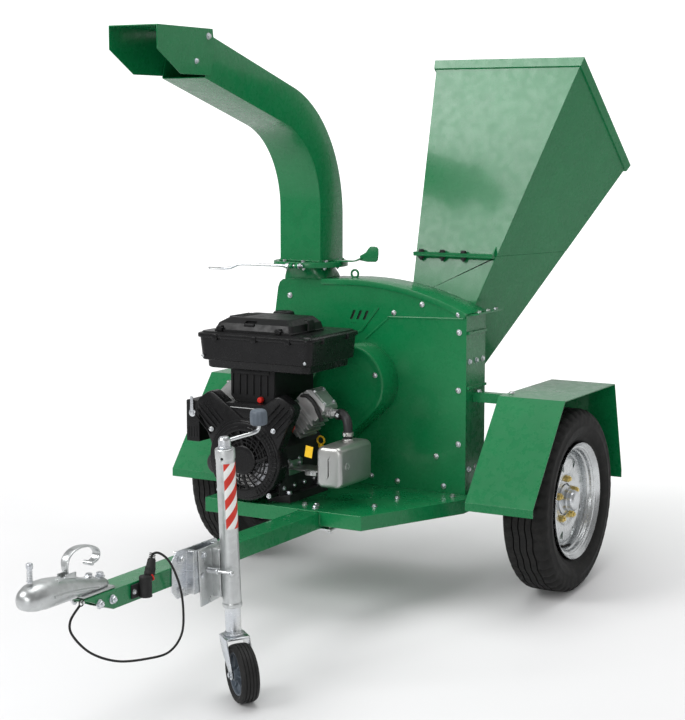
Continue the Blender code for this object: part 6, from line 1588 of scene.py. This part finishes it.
for k in range(6):
    a = 2 * pi * k / 6
    u = Vector((tdv.x * cos(a), tdv.y * cos(a), sin(a)))
    v = wdv.cross(u)
    for sgn in (-1, 1):
        lps = []
        for r, h in ((0.0160, 0.0200), (0.0350, 0.0130), (0.0525, 0.0150)):
            p = jwc + u * r
            lps.append([p + v * 0.0020 + wdv * (sgn * 0.0060), p - v * 0.0020 + wdv * (sgn * 0.0060), p - v * 0.0014 + wdv * (sgn * h), p + v * 0.0014 + wdv * (sgn * h)])
        ribs_j.append(loft(lps))
put("jockey_rim", join(rim, *ribs_j), GREY, "jockey_wheel", UP, ("jockey_wheel_rim",), sharp=34)

HDv = Vector((0.57, 0.82, 0)).normalized()
hz = JT + 0.0003
ACv = Vector((JX_, JY_, 0))
KCv = ACv + HDv * 0.100
cr = [turned((JX_, JY_, hz), (0, 0, 1), [(0.0182, 0.0), (0.0182, 0.0040), (0.0165, 0.0055), (0.0165, 0.0230), (0.0120, 0.0300), (0.0060, 0.0310)], 48, 0.0012, 3),
      rod([(JX_, JY_, 0.440), (JX_, JY_, hz + 0.010)], 0.0058, 18),
      rod([ACv + HDv * 0.004 + Vector((0, 0, hz + 0.0180)), ACv + HDv * 0.040 + Vector((0, 0, hz + 0.0235)), ACv + HDv * 0.080 + Vector((0, 0, hz + 0.0290)), ACv + HDv * 0.0950 + Vector((0, 0, hz + 0.0345)), KCv + Vector((0, 0, hz + 0.0480)), KCv + Vector((0, 0, hz + 0.0850))], 0.0050, 20, 6)]
put("jockey_crank_arm", join(*cr), ZINC, "jockey_winder", UP, ("jockey_crank",), sharp=40)
nk = 60
rows = []
for z, r, g in ((0.0500, 0.0085, 0), (0.0500, 0.0190, 0), (0.0512, 0.0212, 0.4), (0.0550, 0.0232, 1), (0.0620, 0.0235, 1), (0.0760, 0.0233, 1), (0.0830, 0.0226, 1), (0.0876, 0.0205, 0.7), (0.0902, 0.0170, 0.3), (0.0915, 0.0120, 0), (0.0920, 0.0050, 0)):
    rows.append([(KCv.x + (r - 0.0013 * g * (1 if k % 5 in (0, 1) else 0)) * cos(2 * pi * k / nk), KCv.y + (r - 0.0013 * g * (1 if k % 5 in (0, 1) else 0)) * sin(2 * pi * k / nk), hz + z) for k in range(nk)])
knob = from_bm_boolean(loft(rows), [lathe((KCv.x, KCv.y, hz), (0, 0, 1), [(0.0, 0.0), (0.0062, 0.0), (0.0062, 0.0870), (0.0, 0.0870)], 28)])
put("jockey_knob_ribbed", knob, GREY, "jockey_grip", UP, ("jockey_knob",), sharp=38)

# ------------------------------------------------------ rotor, knives, drive
for nm, mt, sl in (("rotor_disc", STEEL, "tool_steel"), ("rotor_shaft", STEEL, "tool_steel"), ("chipping_knife_1", STEEL, "tool_steel"), ("chipping_knife_2", STEEL, "tool_steel"), ("bed_knife", STEEL, "tool_steel"), ("crankshaft", STEEL, "tool_steel")):
    if nm in frame["nodes"]:
        refine(nm, mt, 0.0006, 2)
for nm, cc_, r_, g_ in (("rotor_pulley", (RX, RZ), 0.085, 0.074), ("engine_pulley", (CX, CZ), 0.060, 0.049)):
    l_, h_ = mbox(nm)
    bore = 0.0206 if nm == "rotor_pulley" else 0.0151
    pr_ = [(bore, l_.y), (r_ - 0.003, l_.y), (r_, l_.y + 0.003), (r_, l_.y + 0.0110), (g_, l_.y + 0.0165), (g_, l_.y + 0.0205), (r_, l_.y + 0.0260), (r_, l_.y + 0.0300), (g_, l_.y + 0.0355), (g_, l_.y + 0.0395), (r_, l_.y + 0.0450), (r_, h_.y - 0.003), (r_ - 0.003, h_.y),
           (r_ * 0.80, h_.y), (r_ * 0.76, h_.y - 0.012), (r_ * 0.46, h_.y - 0.012), (r_ * 0.42, h_.y), (bore, h_.y)]
    put(nm + "_grooved", lathe((cc_[0], 0, cc_[1]), (0, 1, 0), pr_, 72, closed=True), IRON, BODY_OF[nm], M, (nm,), sharp=34)
refine("drive_belt", RUBBER, 0.0012, 2)

# ------------------------------------------------------------ plain finishes
FALL = {"green_paint": GREEN, "galvanised": GALV, "zinc_plate": ZINC, "black_plastic": BLACK, "black_alloy": GLOSS, "black_iron": IRON, "cast_alloy": ALU,
        "tool_steel": STEEL, "belt_rubber": RUBBER, "tyre_rubber": TYRE, "muffler_skin": MUFF, "grey_plastic": GREY, "yellow_plastic": YELLOW}
SLOT_OF = {s["node"]: s["material_slot"] for s in frame["record"]["subparts"]}
for nm, ob in frame["nodes"].items():
    if ob.hide_render:
        continue
    ob.data.materials.clear()
    ob.data.materials.append(FALL[SLOT_OF[nm]])

# --------------------------------------------------------- camera, light, set
F_PX, AZ, DIP, ROLL = 1719.323, radians(29.7289), radians(7.5259), radians(0.0323)
eye = Vector((2.604, -4.9328, 1.4266))
fwd = Vector((-sin(AZ) * cos(DIP), cos(AZ) * cos(DIP), -sin(DIP)))
rgt = Vector((cos(AZ), sin(AZ), 0.0))
upv = rgt.cross(fwd)
rgt, upv = rgt * cos(ROLL) + upv * sin(ROLL), upv * cos(ROLL) - rgt * sin(ROLL)
cam_d = bpy.data.cameras.new("camera")
cam = bpy.data.objects.new("camera", cam_d)
COL.objects.link(cam)
rot = Matrix((rgt, upv, -fwd)).transposed().to_4x4()
cam.matrix_world = M @ Matrix.Translation(eye) @ rot
cam_d.sensor_width = 36.0
cam_d.lens = F_PX / 720.0 * 36.0
cam_d.clip_start, cam_d.clip_end = 0.1, 60.0
bpy.context.scene.camera = cam

floor_m = Tree("studio_floor", (0.80, 0.80, 0.805), 0.55, 0.0)
floor_m.set("Roughness", floor_m.rng(floor_m.noise(3.0, 3), 0.3, 0.7, 0.5, 0.62))
sp = floor_m.nt.nodes.new("ShaderNodeSeparateXYZ")
floor_m.nt.links.new(floor_m.co, sp.inputs[0])
# painted shade and light: the floor colour darkens towards the camera, and a glow seen only by the camera brightens the
# far floor and sweep
floor_shade_ramp = floor_m.rng(sp.outputs["Y"], -2.5, 3.0, 0.0, 1.0)
floor_m.set("Base Color", floor_m.mix(floor_shade_ramp, (0.60, 0.60, 0.61), (0.82, 0.82, 0.82)))
seen = floor_m.nt.nodes.new("ShaderNodeLightPath")
glow = floor_m.math('MULTIPLY', floor_m.rng(sp.outputs["Y"], 0.5, 5.5, 0.0, 0.62), seen.outputs["Is Camera Ray"])
floor_m.p.inputs["Emission Color"].default_value = (1, 1, 1, 1)
floor_m.set("Emission Strength", glow)
bm = bmesh.new()
rows = []
for y, z in [(-7, 0), (6, 0)] + [(6 + 3 * sin(a), 3 - 3 * cos(a)) for a in [pi / 2 * k / 16 for k in range(1, 17)]] + [(9, 9)]:
    rows.append([bm.verts.new((x, y, z)) for x in (-14, 14)])
for a, b in zip(rows, rows[1:]):
    bm.faces.new((a[0], a[1], b[1], b[0]))
me = bpy.data.meshes.new("studio_sweep")
bm.to_mesh(me)
bm.free()
me.materials.append(floor_m.m)
sweep = bpy.data.objects.new("studio_sweep", me)
COL.objects.link(sweep)
me.shade_smooth()

world = bpy.data.worlds.new("studio")
bpy.context.scene.world = world
world.use_nodes = True
wt = world.node_tree
wt.nodes["Background"].inputs["Color"].default_value = (1.0, 1.0, 1.0, 1.0)
lp = wt.nodes.new("ShaderNodeLightPath")
dim = wt.nodes.new("ShaderNodeMapRange")        # paint and plated parts see a dimmer room than the floor does
for k, v in zip(("From Min", "From Max", "To Min", "To Max"), (0.0, 1.0, 0.75, 0.30)):
    dim.inputs[k].default_value = v
wt.links.new(lp.outputs["Is Glossy Ray"], dim.inputs["Value"])
wt.links.new(dim.outputs["Result"], wt.nodes["Background"].inputs["Strength"])


def lamp(name, loc, aim, size, power, col=(1, 1, 1)):
    d = bpy.data.lights.new(name, 'AREA')
    d.shape = 'RECTANGLE'
    d.size, d.size_y = size
    d.energy = power
    d.color = col
    o = bpy.data.objects.new(name, d)
    COL.objects.link(o)
    o.location = loc
    o.rotation_euler = (Vector(aim) - Vector(loc)).to_track_quat('-Z', 'Y').to_euler()
    return o


lamp("key", (-2.6, -3.6, 4.2), (0, 0, 0.6), (2.4, 2.4), 190)
lamp("front", (1.2, -5.6, 1.9), (0.3, 0, 0.6), (2.6, 1.6), 60)
lamp("top", (0.2, 0.6, 5.0), (0, 0, 0.5), (3.5, 3.5), 120)
sc = bpy.context.scene
sc.view_settings.view_transform = 'Standard'
sc.view_settings.look = 'None'
